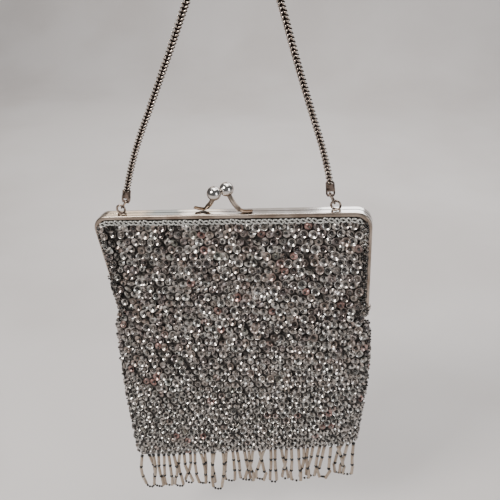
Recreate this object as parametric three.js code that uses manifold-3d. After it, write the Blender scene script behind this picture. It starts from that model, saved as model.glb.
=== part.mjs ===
// Beaded evening purse: a rigid kiss-lock frame in two halves, a soft hollow pouch sewn into it,
// a bead fringe along the bottom seam and a fine chain handle.
// Millimetres, +Z up, front towards -Y. The origin is the point that the chain hangs from,
// on the underside of the chain at the top of its loop.
// The chain was hung a little off its middle, so the frame hangs with its left end lower.
import * as THREE from "three";
import { mergeVertices } from "three/addons/utils/BufferGeometryUtils.js";
import Module from "manifold-3d";

const wasm = await Module();
wasm.setup();

// Sizes of the frame
const FRAME_WIDTH = 200;
const FRAME_DEPTH = 10.4;
const ARM_LENGTH = 78;
const ARM_TAPER = 3.4;
const CORNER_RADIUS = 11.5;
const SHEET = 0.9;
const LIP = 3;
const HALF_GAP = 0.4;
const CLEARANCE = 0.3;
const LUG_RADIUS = 3.9;
const RIVET_RADIUS = 1.1;
const RIVET_HEAD_RADIUS = 2.3;
const RIVET_HEAD_HEIGHT = 0.8;

// How the purse hangs: frame centre below the hanging point, and the lean of its left end
const HANG_DROP = 179.8;
const HANG_OFFSET = 12.6;
const HANG_TILT = THREE.MathUtils.degToRad(5.7);

// Sizes of the ears that carry the chain, and of the clasp's two knobs
const EAR_SPACING = 152;
const EAR_RADIUS = 3.05;
const EAR_HEIGHT = 8.2;
const EAR_WIRE = 1.3;
const EAR_FOOT_SPREAD = 5.2;
const KNOB_DIAMETER = 9.4;
const KNOB_HEIGHT = 15.2;
const KNOB_SPREAD = 7.2;
const KNOB_STAGGER = 6.8;
const CLASP_CENTRE = -1.7;
const CLASP_ARM = 3.3;
const CLASP_REACH = 12.5;
const FOOT_LENGTH = 10.5;
const FOOT_WIDTH = 4.2;
const FOOT_HEIGHT = 1.5;
const STUD_RADIUS = 0.9;

// Sizes of the chain handle, its end caps and jump links
const CHAIN_WIDTH = 4.4;
const CHAIN_SIDES = 8;
const CHAIN_STEPS = 80;
const BEND_RADIUS = 12;
const CAP_WIDTH = 6;
const CAP_DEPTH = 5.6;
const CAP_LENGTH = 9.2;
const SOCKET_DEPTH = 4;
const FORK_DEPTH = 1.8;
const BRIDGE = 1.3;
const ARCH_WIDTH = 3.7;
const LINK_LENGTH = 9.2;
const LINK_WIDTH = 4.9;
const LINK_WIRE = 1.2;
const LEFT_LINK_LEAN = THREE.MathUtils.degToRad(36);
const RIGHT_LINK_LEAN = THREE.MathUtils.degToRad(28);
const LEFT_CAP_LEAN = THREE.MathUtils.degToRad(11);
const RIGHT_CAP_LEAN = THREE.MathUtils.degToRad(7);

// Sizes of the soft pouch, its edging and its fringe
const POUCH_LENGTH = 235;
const POUCH_WIDTH = 207;
const POUCH_FULLNESS = 27;
const POUCH_WALL = 2.2;
const CLOTH_PLUMB = 0.84;
const DRAPE_BEND = 3;
const BOTTOM_TWIST = THREE.MathUtils.degToRad(7);
const BOTTOM_DROP = 5;
const EDGING_HEIGHT = 3.9;
const EDGING_DEPTH = 1.5;
const FRINGE_LENGTH = 47;
const FRINGE_LOOPS = 20;
const FRINGE_DEPTH = 2.4;
const FRINGE_HEAD = 3;
const FRINGE_GAP_SHARE = 0.3;

// Widths and depths of the pouch. down is a share of its length below the mouth, width a share of its
// full width, depth a share of its fullness, and power squares the section off towards the mouth.
const POUCH_SECTIONS = [
  { down: 0.0, width: 0.932, depth: 0.36, power: 7 },
  { down: 0.16, width: 0.932, depth: 0.42, power: 6 },
  { down: 0.3, width: 0.955, depth: 0.5, power: 4.6 },
  { down: 0.36, width: 0.97, depth: 0.56, power: 4 },
  { down: 0.42, width: 0.98, depth: 0.63, power: 3.6 },
  { down: 0.5, width: 0.985, depth: 0.75, power: 3.2 },
  { down: 0.58, width: 0.985, depth: 0.85, power: 3 },
  { down: 0.68, width: 0.98, depth: 0.96, power: 2.8 },
  { down: 0.8, width: 0.967, depth: 1.0, power: 2.8 },
  { down: 0.9, width: 0.955, depth: 0.84, power: 2.9 },
  { down: 0.965, width: 0.948, depth: 0.55, power: 3 },
  { down: 1.0, width: 0.944, depth: 0.22, power: 3 },
];
const POUCH_ROWS_ABOVE = 6;
const POUCH_ROWS_BELOW = 15;
const POUCH_SIDES = 36;
const CAVITY_END = 0.955;

// The free stretch of the chain between its caps, as seen from the front, from the hanging point
const CHAIN_ROUTE = {
  left: [
    [-72.2, -137.6],
    [-58.2, -106.5],
    [-43.2, -73.9],
    [-30.2, -44.9],
  ],
  right: [
    [23.9, -44.4],
    [34.0, -76.5],
    [43.5, -105.0],
    [52.4, -131.2],
  ],
};
const LEFT_LEG_LEAN = THREE.MathUtils.degToRad(23.3);
const RIGHT_LEG_LEAN = THREE.MathUtils.degToRad(18);

// Sizes worked out from the ones above
const HALF_WIDTH = FRAME_WIDTH / 2;
const HALF_DEPTH = FRAME_DEPTH / 2;
const PLATE_DEPTH = HALF_DEPTH - HALF_GAP / 2;
const MOUTH = LIP + CLEARANCE;
const ARM_END = ARM_LENGTH + LUG_RADIUS + CLEARANCE;
const EAR_DEPTH = -(HALF_GAP / 2 + PLATE_DEPTH / 2);
const INNER_LUG = HALF_WIDTH - SHEET - CLEARANCE;
const CHAIN_RADIUS = CHAIN_WIDTH / 2;
const KNOB_RADIUS = KNOB_DIAMETER / 2;

const nickel = { color: 0xc9c2b6, roughness: 0.22, metalness: 1 };
const pewter = { color: 0x8b8074, roughness: 0.34, metalness: 1 };
const sequins = { color: 0x8f8b8a, roughness: 0.4, metalness: 0.5 };
const thread = { color: 0xa9aaa6, roughness: 0.8, metalness: 0.1 };
const beads = { color: 0xcabfae, roughness: 0.3, metalness: 0 };

// Boolean work on closed meshes
function toSolid(geometry) {
  const bare = geometry.clone();
  bare.deleteAttribute("normal");
  bare.deleteAttribute("uv");
  const merged = mergeVertices(bare, 1e-4);
  const solid = new wasm.Manifold(
    new wasm.Mesh({
      numProp: 3,
      vertProperties: new Float32Array(merged.attributes.position.array),
      triVerts: new Uint32Array(merged.index.array),
    }),
  );
  return solid;
}

function toGeometry(solid) {
  const mesh = solid.getMesh();
  const geometry = new THREE.BufferGeometry();
  const points = new Float32Array(mesh.numVert * 3);
  for (let i = 0; i < mesh.numVert; i += 1) {
    for (let k = 0; k < 3; k += 1) {
      points[3 * i + k] = mesh.vertProperties[mesh.numProp * i + k];
    }
  }
  geometry.setAttribute("position", new THREE.BufferAttribute(points, 3));
  geometry.setIndex(new THREE.BufferAttribute(new Uint32Array(mesh.triVerts), 1));
  return geometry;
}

function join(...geometries) {
  let solid = toSolid(geometries[0]);
  for (const geometry of geometries.slice(1)) {
    solid = solid.add(toSolid(geometry));
  }
  return toGeometry(solid);
}

function cut(geometry, ...tools) {
  let solid = toSolid(geometry);
  for (const tool of tools) {
    solid = solid.subtract(toSolid(tool));
  }
  return toGeometry(solid);
}

// Basic shapes in the purse's own axes: x across, y to the back, z up
function block(low, high) {
  const geometry = new THREE.BoxGeometry(high[0] - low[0], high[1] - low[1], high[2] - low[2]);
  return geometry.translate((high[0] + low[0]) / 2, (high[1] + low[1]) / 2, (high[2] + low[2]) / 2);
}

function rodAlongX(radius, from, to, y, z, sides = 20) {
  const geometry = new THREE.CylinderGeometry(radius, radius, to - from, sides);
  return geometry.rotateZ(Math.PI / 2).translate((from + to) / 2, y, z);
}

function rodAlongZ(radius, from, to, x, y, sides = 16) {
  const geometry = new THREE.CylinderGeometry(radius, radius, to - from, sides);
  return geometry.rotateX(Math.PI / 2).translate(x, y, (from + to) / 2);
}

// Turns an outline drawn in x and z into a solid from the depth yFrom to yTo
function slab(shape, yFrom, yTo, curveSegments = 10) {
  const geometry = new THREE.ExtrudeGeometry(shape, {
    depth: yTo - yFrom,
    bevelEnabled: false,
    curveSegments,
  });
  return geometry.rotateX(Math.PI / 2).translate(0, yTo, 0);
}

function circleShape(radius, sides, flatten = 1) {
  const points = [];
  for (let i = 0; i < sides; i += 1) {
    const angle = (2 * Math.PI * i) / sides;
    points.push(new THREE.Vector2(radius * Math.cos(angle), radius * flatten * Math.sin(angle)));
  }
  return new THREE.Shape(points);
}

function sweep(points, shape, steps) {
  const path = new THREE.CatmullRomCurve3(points, false, "centripetal");
  return new THREE.ExtrudeGeometry(shape, { steps, bevelEnabled: false, extrudePath: path });
}

// Leans the frame's arms in, in proportion to the depth below its top face
function taper(geometry) {
  const position = geometry.attributes.position;
  for (let i = 0; i < position.count; i += 1) {
    const down = Math.max(0, -position.getZ(i));
    position.setX(i, position.getX(i) * taperAt(down));
  }
  return geometry;
}

function taperAt(down) {
  return 1 - (ARM_TAPER / HALF_WIDTH) * (down / ARM_LENGTH);
}

// The frame: each half is one strip bent round in a U, with a lip turned down in front or behind
function frameOutline(inset, bottom) {
  const half = HALF_WIDTH - inset;
  const radius = CORNER_RADIUS - inset;
  const top = -inset;
  const shape = new THREE.Path();
  shape.moveTo(-half, bottom);
  shape.lineTo(-half, top - radius);
  shape.absarc(-half + radius, top - radius, radius, Math.PI, Math.PI / 2, true);
  shape.lineTo(half - radius, top);
  shape.absarc(half - radius, top - radius, radius, Math.PI / 2, 0, true);
  shape.lineTo(half, bottom);
  return shape.getPoints(9);
}

function bentStrip(width, bottom, yFrom, yTo) {
  const outer = frameOutline(0, bottom);
  const inner = frameOutline(width, bottom).reverse();
  return slab(new THREE.Shape([...outer, ...inner]), yFrom, yTo);
}

function frontLug(side) {
  const low = side > 0 ? HALF_WIDTH - SHEET : -HALF_WIDTH;
  const high = low + SHEET;
  const disc = rodAlongX(LUG_RADIUS, low, high, 0, -ARM_LENGTH, 24);
  const web = block([low, -HALF_DEPTH, -ARM_LENGTH - LUG_RADIUS], [high, 0, -ARM_LENGTH + LUG_RADIUS]);
  return [disc, web];
}

function backLug(side) {
  const step = ARM_LENGTH - LUG_RADIUS - CLEARANCE;
  const span = (inner, outer) => (side > 0 ? [inner, outer] : [-outer, -inner]);
  const [low, high] = span(INNER_LUG - SHEET, INNER_LUG);
  const [stepLow, stepHigh] = span(INNER_LUG - SHEET, HALF_WIDTH);
  const joggle = SHEET + LIP / 3;
  const disc = rodAlongX(LUG_RADIUS, low, high, 0, -ARM_LENGTH, 24);
  const web = block([low, 0, -ARM_LENGTH - LUG_RADIUS], [high, HALF_DEPTH, -step + joggle]);
  const bend = block([stepLow, HALF_GAP / 2, -step], [stepHigh, HALF_DEPTH, -step + joggle]);
  return [disc, web, bend];
}

function rivetHoles() {
  const reach = HALF_WIDTH + SHEET;
  const radius = RIVET_RADIUS + CLEARANCE;
  const inner = INNER_LUG - 3 * SHEET;
  return [
    rodAlongX(radius, inner, reach, 0, -ARM_LENGTH),
    rodAlongX(radius, -reach, -inner, 0, -ARM_LENGTH),
  ];
}

function earHoles() {
  const holes = [];
  for (const side of [-1, 1]) {
    for (const foot of [-1, 1]) {
      const x = (side * EAR_SPACING) / 2 + (foot * EAR_FOOT_SPREAD) / 2;
      const y = EAR_DEPTH + foot * EAR_WIRE * 0.28;
      holes.push(rodAlongZ(EAR_WIRE / 2 + CLEARANCE, -2 * SHEET, SHEET, x, y));
    }
  }
  return holes;
}

// Where the stud of a clasp foot goes through the plate
function clasp(side) {
  const tip = CLASP_CENTRE + side * (KNOB_SPREAD / 2 + CLASP_REACH + FOOT_LENGTH / 2);
  const y = -side * (HALF_GAP / 2 + (PLATE_DEPTH - SHEET) / 2);
  return {
    knob: new THREE.Vector3(
      CLASP_CENTRE + (side * KNOB_SPREAD) / 2,
      (side * KNOB_STAGGER) / 2,
      KNOB_HEIGHT,
    ),
    heel: new THREE.Vector3(tip - side * FOOT_LENGTH * 0.7, y, 0),
    foot: new THREE.Vector3(tip - side * FOOT_LENGTH * 0.45, y, 0),
  };
}

function studHole(side) {
  const { foot } = clasp(side);
  return rodAlongZ(STUD_RADIUS + CLEARANCE, -2 * SHEET, SHEET, foot.x, foot.y);
}

function frontHalf() {
  const lugBottom = -ARM_LENGTH - LUG_RADIUS;
  const strip = bentStrip(SHEET, lugBottom, -HALF_DEPTH, -HALF_GAP / 2);
  const lip = bentStrip(LIP, lugBottom, -HALF_DEPTH, -HALF_DEPTH + SHEET);
  const body = join(strip, lip, ...frontLug(-1), ...frontLug(1));
  return taper(cut(body, ...rivetHoles(), ...earHoles(), studHole(1)));
}

function backHalf() {
  const lugBottom = -ARM_LENGTH - LUG_RADIUS;
  const stripBottom = -(ARM_LENGTH - LUG_RADIUS - CLEARANCE);
  const strip = bentStrip(SHEET, stripBottom, HALF_GAP / 2, HALF_DEPTH);
  const lip = bentStrip(LIP, lugBottom, HALF_DEPTH - SHEET, HALF_DEPTH);
  const body = join(strip, lip, ...backLug(-1), ...backLug(1));
  return taper(cut(body, ...rivetHoles(), studHole(-1)));
}

function hingeRivet(side) {
  const outside = HALF_WIDTH + CLEARANCE;
  const inside = INNER_LUG - SHEET - CLEARANCE;
  const span = (from, to) => (side > 0 ? [from, to] : [-to, -from]);
  const [shaftLow, shaftHigh] = span(inside - RIVET_HEAD_HEIGHT, outside + RIVET_HEAD_HEIGHT / 2);
  const [headLow, headHigh] = span(outside, outside + RIVET_HEAD_HEIGHT);
  const [tailLow, tailHigh] = span(inside - RIVET_HEAD_HEIGHT, inside);
  return taper(
    join(
      rodAlongX(RIVET_RADIUS, shaftLow, shaftHigh, 0, -ARM_LENGTH),
      rodAlongX(RIVET_HEAD_RADIUS, headLow, headHigh, 0, -ARM_LENGTH),
      rodAlongX(RIVET_HEAD_RADIUS, tailLow, tailHigh, 0, -ARM_LENGTH),
    ),
  );
}

// An ear: wire looped round, crossed over itself, with both feet clinched under the plate
function ear(side) {
  const foot = EAR_FOOT_SPREAD / 2;
  const rise = EAR_HEIGHT - EAR_WIRE / 2;
  const pass = EAR_WIRE * 0.62;
  const under = -(SHEET + CLEARANCE + EAR_WIRE / 2);
  const half = [
    [foot + EAR_WIRE * 1.2, 0.45 * pass, under - 0.12 * EAR_WIRE],
    [foot + EAR_WIRE * 0.25, 0.45 * pass, under + 0.22 * EAR_WIRE],
    [foot, 0.45 * pass, -0.1],
    [foot * 0.8, 0.6 * pass, rise * 0.14],
    [0, pass, rise - 2 * EAR_RADIUS - 0.05 * EAR_RADIUS],
    [-EAR_RADIUS * 0.8, 0.7 * pass, rise - EAR_RADIUS * 1.65],
    [-EAR_RADIUS, 0.3 * pass, rise - EAR_RADIUS],
    [-EAR_RADIUS * 0.72, 0.1 * pass, rise - EAR_RADIUS * 0.3],
  ];
  const points = half.map(([x, y, z]) => new THREE.Vector3(x, y, z));
  points.push(new THREE.Vector3(0, 0, rise));
  for (const [x, y, z] of [...half].reverse()) {
    points.push(new THREE.Vector3(-x, -y, z));
  }
  const wire = sweep(points, circleShape(EAR_WIRE / 2, 6), 44);
  return wire.translate((side * EAR_SPACING) / 2, EAR_DEPTH, 0);
}

// A clasp knob: a ball on a curved arm, whose foot is studded through the top plate.
// side 1 is the right arm, on the front half, with its ball behind; side -1 is the left arm, mirrored.
function claspKnob(side) {
  const { knob, heel, foot } = clasp(side);
  const seat = CLEARANCE + FOOT_HEIGHT / 2;
  const rest = CLEARANCE + CLASP_ARM * 0.36;
  const tip = foot.x + side * FOOT_LENGTH * 0.45;
  const pad = new THREE.ExtrudeGeometry(tongue(heel.x, tip, foot.y, FOOT_WIDTH), {
    depth: FOOT_HEIGHT,
    bevelEnabled: false,
    curveSegments: 6,
  }).translate(0, 0, CLEARANCE);
  const arm = sweep(
    [
      new THREE.Vector3(foot.x, foot.y, rest + 0.1),
      new THREE.Vector3(heel.x, heel.y, rest + 0.35),
      new THREE.Vector3(
        THREE.MathUtils.lerp(heel.x, knob.x, 0.38),
        THREE.MathUtils.lerp(heel.y, knob.y, 0.2),
        seat + KNOB_HEIGHT * 0.2,
      ),
      new THREE.Vector3(
        THREE.MathUtils.lerp(heel.x, knob.x, 0.72),
        THREE.MathUtils.lerp(heel.y, knob.y, 0.6),
        seat + KNOB_HEIGHT * 0.52,
      ),
      knob,
    ],
    circleShape(CLASP_ARM / 2, 8, 0.72),
    10,
  );
  const ball = new THREE.SphereGeometry(KNOB_RADIUS, 18, 11).translate(knob.x, knob.y, knob.z);
  const stud = rodAlongZ(STUD_RADIUS, -SHEET - CLEARANCE - SHEET, seat, foot.x, foot.y);
  const clinch = rodAlongZ(
    STUD_RADIUS * 1.9,
    -SHEET - CLEARANCE - SHEET,
    -SHEET - CLEARANCE,
    foot.x,
    foot.y,
  );
  return join(pad, arm, ball, stud, clinch);
}

// A strip with round ends, seen from above
function tongue(from, to, y, width) {
  const radius = width / 2;
  const low = Math.min(from, to) + radius;
  const high = Math.max(from, to) - radius;
  const shape = new THREE.Shape();
  shape.moveTo(low, y - radius);
  shape.lineTo(high, y - radius);
  shape.absarc(high, y, radius, -Math.PI / 2, Math.PI / 2, false);
  shape.lineTo(low, y + radius);
  shape.absarc(low, y, radius, Math.PI / 2, 1.5 * Math.PI, false);
  return shape;
}

// The pouch: sections from the mouth to the bottom seam, blended smoothly down its length
function pouchSection(share) {
  const last = POUCH_SECTIONS.length - 1;
  let i = 0;
  while (i < last - 1 && POUCH_SECTIONS[i + 1].down < share) i += 1;
  const a = POUCH_SECTIONS[Math.max(0, i - 1)];
  const b = POUCH_SECTIONS[i];
  const c = POUCH_SECTIONS[i + 1];
  const d = POUCH_SECTIONS[Math.min(last, i + 2)];
  const t = (share - b.down) / (c.down - b.down);
  const blend = (key) => {
    const gap = c.down - b.down;
    const slopeB = b === a ? 0 : ((c[key] - a[key]) / (c.down - a.down)) * gap;
    const slopeC = d === c ? c[key] - b[key] : ((d[key] - b[key]) / (d.down - b.down)) * gap;
    return (
      (2 * t ** 3 - 3 * t ** 2 + 1) * b[key] +
      (t ** 3 - 2 * t ** 2 + t) * slopeB +
      (3 * t ** 2 - 2 * t ** 3) * c[key] +
      (t ** 3 - t ** 2) * slopeC
    );
  };
  return { width: blend("width"), depth: blend("depth"), power: blend("power") };
}

// Below the arms the cloth hangs nearly plumb under the tilted frame. It drops a little further at its
// left corner and turns a little, left corner forward. x, y and down are before it hangs.
function hang(x, y, down) {
  const free = Math.max(0, down - ARM_LENGTH);
  const share = free / (POUCH_LENGTH - ARM_LENGTH);
  const ease = Math.min(1, share) ** 1.3;
  const easedDrop = free - DRAPE_BEND * (1 - Math.exp(-free / DRAPE_BEND));
  const turned = y + x * Math.tan(BOTTOM_TWIST) * ease;
  const drop = down - BOTTOM_DROP * ease * (x / (POUCH_WIDTH / 2));
  return new THREE.Vector3(x - CLOTH_PLUMB * Math.tan(HANG_TILT) * easedDrop, turned, -drop);
}

function pouchRing(share, inset) {
  const section = pouchSection(share);
  const down = MOUTH + share * (POUCH_LENGTH - MOUTH);
  const lean = taperAt(Math.min(down, ARM_LENGTH));
  const bend = Math.sqrt((CORNER_RADIUS - MOUTH) ** 2 - Math.max(0, CORNER_RADIUS - down) ** 2);
  const straight = HALF_WIDTH - CORNER_RADIUS + bend - CLEARANCE;
  const full = (POUCH_WIDTH / 2) * section.width;
  const mix = THREE.MathUtils.smoothstep(down, ARM_END, ARM_END + 4 * LUG_RADIUS);
  const half = THREE.MathUtils.lerp(straight * lean, full, mix) - inset;
  const deep = Math.max(0.35, (POUCH_FULLNESS / 2) * section.depth - inset);
  const points = [];
  for (let i = 0; i < POUCH_SIDES; i += 1) {
    const angle = (2 * Math.PI * i) / POUCH_SIDES;
    const cos = Math.cos(angle);
    const sin = Math.sin(angle);
    const x = half * Math.sign(cos) * Math.abs(cos) ** (2 / section.power);
    const y = deep * Math.sign(sin) * Math.abs(sin) ** (2 / section.power);
    points.push(hang(x, y, down));
  }
  return points;
}

// Rows are closer together just below the arms, where the cloth swells out
function pouchRows() {
  const armEnd = (ARM_END - MOUTH) / (POUCH_LENGTH - MOUTH);
  const rows = [];
  for (let i = 0; i < POUCH_ROWS_ABOVE; i += 1) {
    rows.push((armEnd * i) / POUCH_ROWS_ABOVE);
  }
  for (let i = 0; i <= POUCH_ROWS_BELOW; i += 1) {
    rows.push(armEnd + (1 - armEnd) * (i / POUCH_ROWS_BELOW) ** 1.25);
  }
  return rows;
}

function pouch() {
  const rings = [];
  const inner = [];
  for (const share of pouchRows()) {
    rings.push(pouchRing(share, 0));
    inner.push(pouchRing(CAVITY_END * share, POUCH_WALL));
  }
  const walk = [...inner.reverse(), ...rings];
  const position = [];
  const index = [];
  for (const ring of walk) {
    for (const point of ring) position.push(point.x, point.y, point.z);
  }
  const count = POUCH_SIDES;
  for (let r = 0; r + 1 < walk.length; r += 1) {
    for (let i = 0; i < count; i += 1) {
      const a = r * count + i;
      const b = r * count + ((i + 1) % count);
      index.push(a, a + count, b, b, a + count, b + count);
    }
  }
  const closeRing = (ringIndex, flip) => {
    const ring = walk[ringIndex];
    const centre = ring.reduce((sum, point) => sum.add(point), new THREE.Vector3());
    centre.divideScalar(ring.length);
    position.push(centre.x, centre.y, centre.z);
    const hub = position.length / 3 - 1;
    for (let i = 0; i < count; i += 1) {
      const a = ringIndex * count + i;
      const b = ringIndex * count + ((i + 1) % count);
      if (flip) index.push(hub, b, a);
      else index.push(hub, a, b);
    }
  };
  closeRing(0, false);
  closeRing(walk.length - 1, true);
  const geometry = new THREE.BufferGeometry();
  geometry.setAttribute("position", new THREE.BufferAttribute(new Float32Array(position), 3));
  geometry.setIndex(index);
  return geometry;
}

// The row of crochet under the lip, in front of the pouch or behind it
function edging(side) {
  const radius = EDGING_HEIGHT / 2;
  const half = HALF_WIDTH - CORNER_RADIUS + radius;
  const top = -MOUTH;
  const shape = new THREE.Shape();
  shape.moveTo(-half + radius, top);
  shape.lineTo(half - radius, top);
  shape.absarc(half - radius, top - radius, radius, Math.PI / 2, -Math.PI / 2, true);
  shape.lineTo(-half + radius, top - 2 * radius);
  shape.absarc(-half + radius, top - radius, radius, -Math.PI / 2, -1.5 * Math.PI, true);
  const near = (POUCH_FULLNESS / 2) * pouchSection(EDGING_HEIGHT / POUCH_LENGTH).depth + CLEARANCE;
  const far = near + EDGING_DEPTH;
  return side < 0 ? slab(shape, -far, -near, 5) : slab(shape, near, far, 5);
}

// The fringe: a header under the bottom seam with one rounded lock for each loop of beads
function fringe() {
  const half = (POUCH_WIDTH / 2) * POUCH_SECTIONS.at(-1).width;
  const top = POUCH_LENGTH + CLEARANCE;
  const pitch = (2 * half) / FRINGE_LOOPS;
  const lock = pitch * (1 - FRINGE_GAP_SHARE);
  const shape = new THREE.Shape();
  shape.moveTo(-half, top);
  shape.lineTo(-half, top + FRINGE_HEAD);
  for (let i = 0; i < FRINGE_LOOPS; i += 1) {
    const left = -half + i * pitch + (pitch - lock) / 2;
    const right = left + lock;
    const bottom = top + FRINGE_LENGTH - 1.6 * Math.abs(Math.sin(2.4 * i));
    shape.lineTo(left, top + FRINGE_HEAD);
    shape.lineTo(left, bottom - lock / 2);
    shape.lineTo(left + lock * 0.2, bottom - lock * 0.12);
    shape.lineTo((left + right) / 2, bottom);
    shape.lineTo(right - lock * 0.2, bottom - lock * 0.12);
    shape.lineTo(right, bottom - lock / 2);
    shape.lineTo(right, top + FRINGE_HEAD);
  }
  shape.lineTo(half, top + FRINGE_HEAD);
  shape.lineTo(half, top);
  const comb = new THREE.ExtrudeGeometry(shape, { depth: FRINGE_DEPTH, bevelEnabled: false });
  comb.translate(0, 0, -FRINGE_DEPTH / 2);
  const position = comb.attributes.position;
  for (let i = 0; i < position.count; i += 1) {
    const down = position.getY(i);
    const seam = hang(position.getX(i), position.getZ(i), Math.min(down, top));
    const below = Math.max(0, down - top);
    position.setXYZ(i, seam.x - Math.tan(HANG_TILT) * below, seam.y, seam.z - below);
  }
  return comb;
}

// Frames for the hardware above the ears, which hangs in the upright axes
function toRow(x, z) {
  const cos = Math.cos(HANG_TILT);
  const sin = Math.sin(HANG_TILT);
  return new THREE.Vector3(x * cos - z * sin - HANG_OFFSET, 0, x * sin + z * cos - HANG_DROP);
}

function hardware(side) {
  const earCentre = toRow((side * EAR_SPACING) / 2, EAR_HEIGHT - EAR_WIRE / 2 - EAR_RADIUS);
  const linkLean = side < 0 ? LEFT_LINK_LEAN : RIGHT_LINK_LEAN;
  const linkAxis = new THREE.Vector3(-side * Math.sin(linkLean), 0, Math.cos(linkLean));
  const earWire = earCentre.addScaledVector(linkAxis, EAR_RADIUS);
  const capLean = side < 0 ? LEFT_CAP_LEAN : RIGHT_CAP_LEAN;
  const capAxis = new THREE.Vector3(-side * Math.sin(capLean), 0, Math.cos(capLean));
  const slack = EAR_WIRE / 2 + CLEARANCE;
  const linkEnd = earWire.clone().addScaledVector(linkAxis, -slack - LINK_WIRE);
  const linkCentre = linkEnd.clone().addScaledVector(linkAxis, LINK_LENGTH / 2);
  const gap = (BRIDGE / 2 + CLEARANCE + LINK_WIRE / 2) / Math.cos(linkLean - capLean);
  const reach = LINK_LENGTH - 1.5 * LINK_WIRE - slack - gap;
  const bridge = earWire.clone().addScaledVector(linkAxis, reach);
  return { linkCentre, linkAxis, bridge, capAxis };
}

function jumpLink(side) {
  const { linkCentre, linkAxis } = hardware(side);
  const steps = 24;
  const sides = 6;
  const straight = (LINK_LENGTH - LINK_WIDTH) / 2;
  const bend = (LINK_WIDTH - LINK_WIRE) / 2;
  const wire = LINK_WIRE / 2;
  const position = [];
  const index = [];
  const across = new THREE.Vector3().crossVectors(linkAxis, new THREE.Vector3(0, 1, 0));
  for (let i = 0; i < steps; i += 1) {
    const angle = (2 * Math.PI * (i + 0.5)) / steps;
    const outY = Math.cos(angle);
    const outAlong = Math.sin(angle);
    const shift = Math.sign(outAlong) * straight;
    for (let k = 0; k < sides; k += 1) {
      const turn = (2 * Math.PI * k) / sides;
      const radius = bend + wire * Math.cos(turn);
      const point = linkCentre.clone();
      point.addScaledVector(linkAxis, shift + radius * outAlong);
      point.y += radius * outY;
      point.addScaledVector(across, wire * Math.sin(turn));
      position.push(point.x, point.y, point.z);
      const a = i * sides + k;
      const b = i * sides + ((k + 1) % sides);
      const c = ((i + 1) % steps) * sides + k;
      const d = ((i + 1) % steps) * sides + ((k + 1) % sides);
      index.push(a, b, c, b, d, c);
    }
  }
  const geometry = new THREE.BufferGeometry();
  geometry.setAttribute("position", new THREE.BufferAttribute(new Float32Array(position), 3));
  geometry.setIndex(index);
  return geometry;
}

// An end cap: a ferrule that grips the chain, with a thin fork and bridge that the jump link holds.
// It is drawn upright with the bridge's middle at the origin, then leant to its place.
function endCap(side) {
  const { bridge, capAxis } = hardware(side);
  const bottom = -BRIDGE / 2;
  const top = bottom + CAP_LENGTH;
  const sleeve = top - SOCKET_DEPTH - SHEET;
  const ferrule = new THREE.ExtrudeGeometry(circleShape(CAP_WIDTH / 2, 20, CAP_DEPTH / CAP_WIDTH), {
    depth: top - sleeve,
    bevelEnabled: false,
  }).translate(0, 0, sleeve);
  const fork = new THREE.Shape();
  fork.moveTo(-CAP_WIDTH * 0.36, bottom);
  fork.lineTo(CAP_WIDTH * 0.36, bottom);
  fork.lineTo(CAP_WIDTH / 2, bottom + BRIDGE * 1.4);
  fork.lineTo(CAP_WIDTH / 2, sleeve + SHEET);
  fork.lineTo(-CAP_WIDTH / 2, sleeve + SHEET);
  fork.lineTo(-CAP_WIDTH / 2, bottom + BRIDGE * 1.4);
  const arch = new THREE.Path();
  const archTop = sleeve - ARCH_WIDTH / 2;
  arch.moveTo(ARCH_WIDTH / 2, bottom + BRIDGE);
  arch.lineTo(ARCH_WIDTH / 2, archTop);
  arch.absarc(0, archTop, ARCH_WIDTH / 2, 0, Math.PI);
  arch.lineTo(-ARCH_WIDTH / 2, bottom + BRIDGE);
  fork.holes.push(new THREE.Path(arch.getPoints(5)));
  const plate = slab(fork, -FORK_DEPTH / 2, FORK_DEPTH / 2, 5);
  const socket = rodAlongZ(CHAIN_RADIUS + CLEARANCE, top - SOCKET_DEPTH, top + SHEET, 0, 0, 20);
  const cap = cut(join(ferrule, plate), socket);
  const lean = Math.atan2(capAxis.x, capAxis.z);
  return cap.rotateY(lean).translate(bridge.x, bridge.y, bridge.z);
}

// The chain's middle line: out of the left cap, over the bend it hangs by and into the right cap
function chainLine() {
  const socketFloor = CAP_LENGTH - BRIDGE / 2 - SOCKET_DEPTH + CLEARANCE;
  const ends = (side) => {
    const { bridge, capAxis } = hardware(side);
    return [
      bridge.clone().addScaledVector(capAxis, socketFloor),
      bridge.clone().addScaledVector(capAxis, socketFloor + SOCKET_DEPTH),
    ];
  };
  const bendCentre = new THREE.Vector3(0, 0, CHAIN_RADIUS - BEND_RADIUS);
  const bend = [];
  for (const share of [0, 0.25, 0.5, 0.75, 1]) {
    const angle = THREE.MathUtils.lerp(Math.PI - LEFT_LEG_LEAN, RIGHT_LEG_LEAN, share);
    const out = new THREE.Vector3(Math.cos(angle), 0, Math.sin(angle));
    bend.push(bendCentre.clone().addScaledVector(out, BEND_RADIUS));
  }
  const chosen = (list) => list.map(([x, z]) => new THREE.Vector3(x, 0, z));
  return [
    ...ends(-1),
    ...chosen(CHAIN_ROUTE.left),
    ...bend,
    ...chosen(CHAIN_ROUTE.right),
    ...ends(1).reverse(),
  ];
}

function chain() {
  return sweep(chainLine(), circleShape(CHAIN_RADIUS, CHAIN_SIDES), CHAIN_STEPS);
}

function piece(name, geometry, finish) {
  const mesh = new THREE.Mesh(geometry, new THREE.MeshStandardMaterial(finish));
  mesh.name = name;
  return mesh;
}

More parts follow.
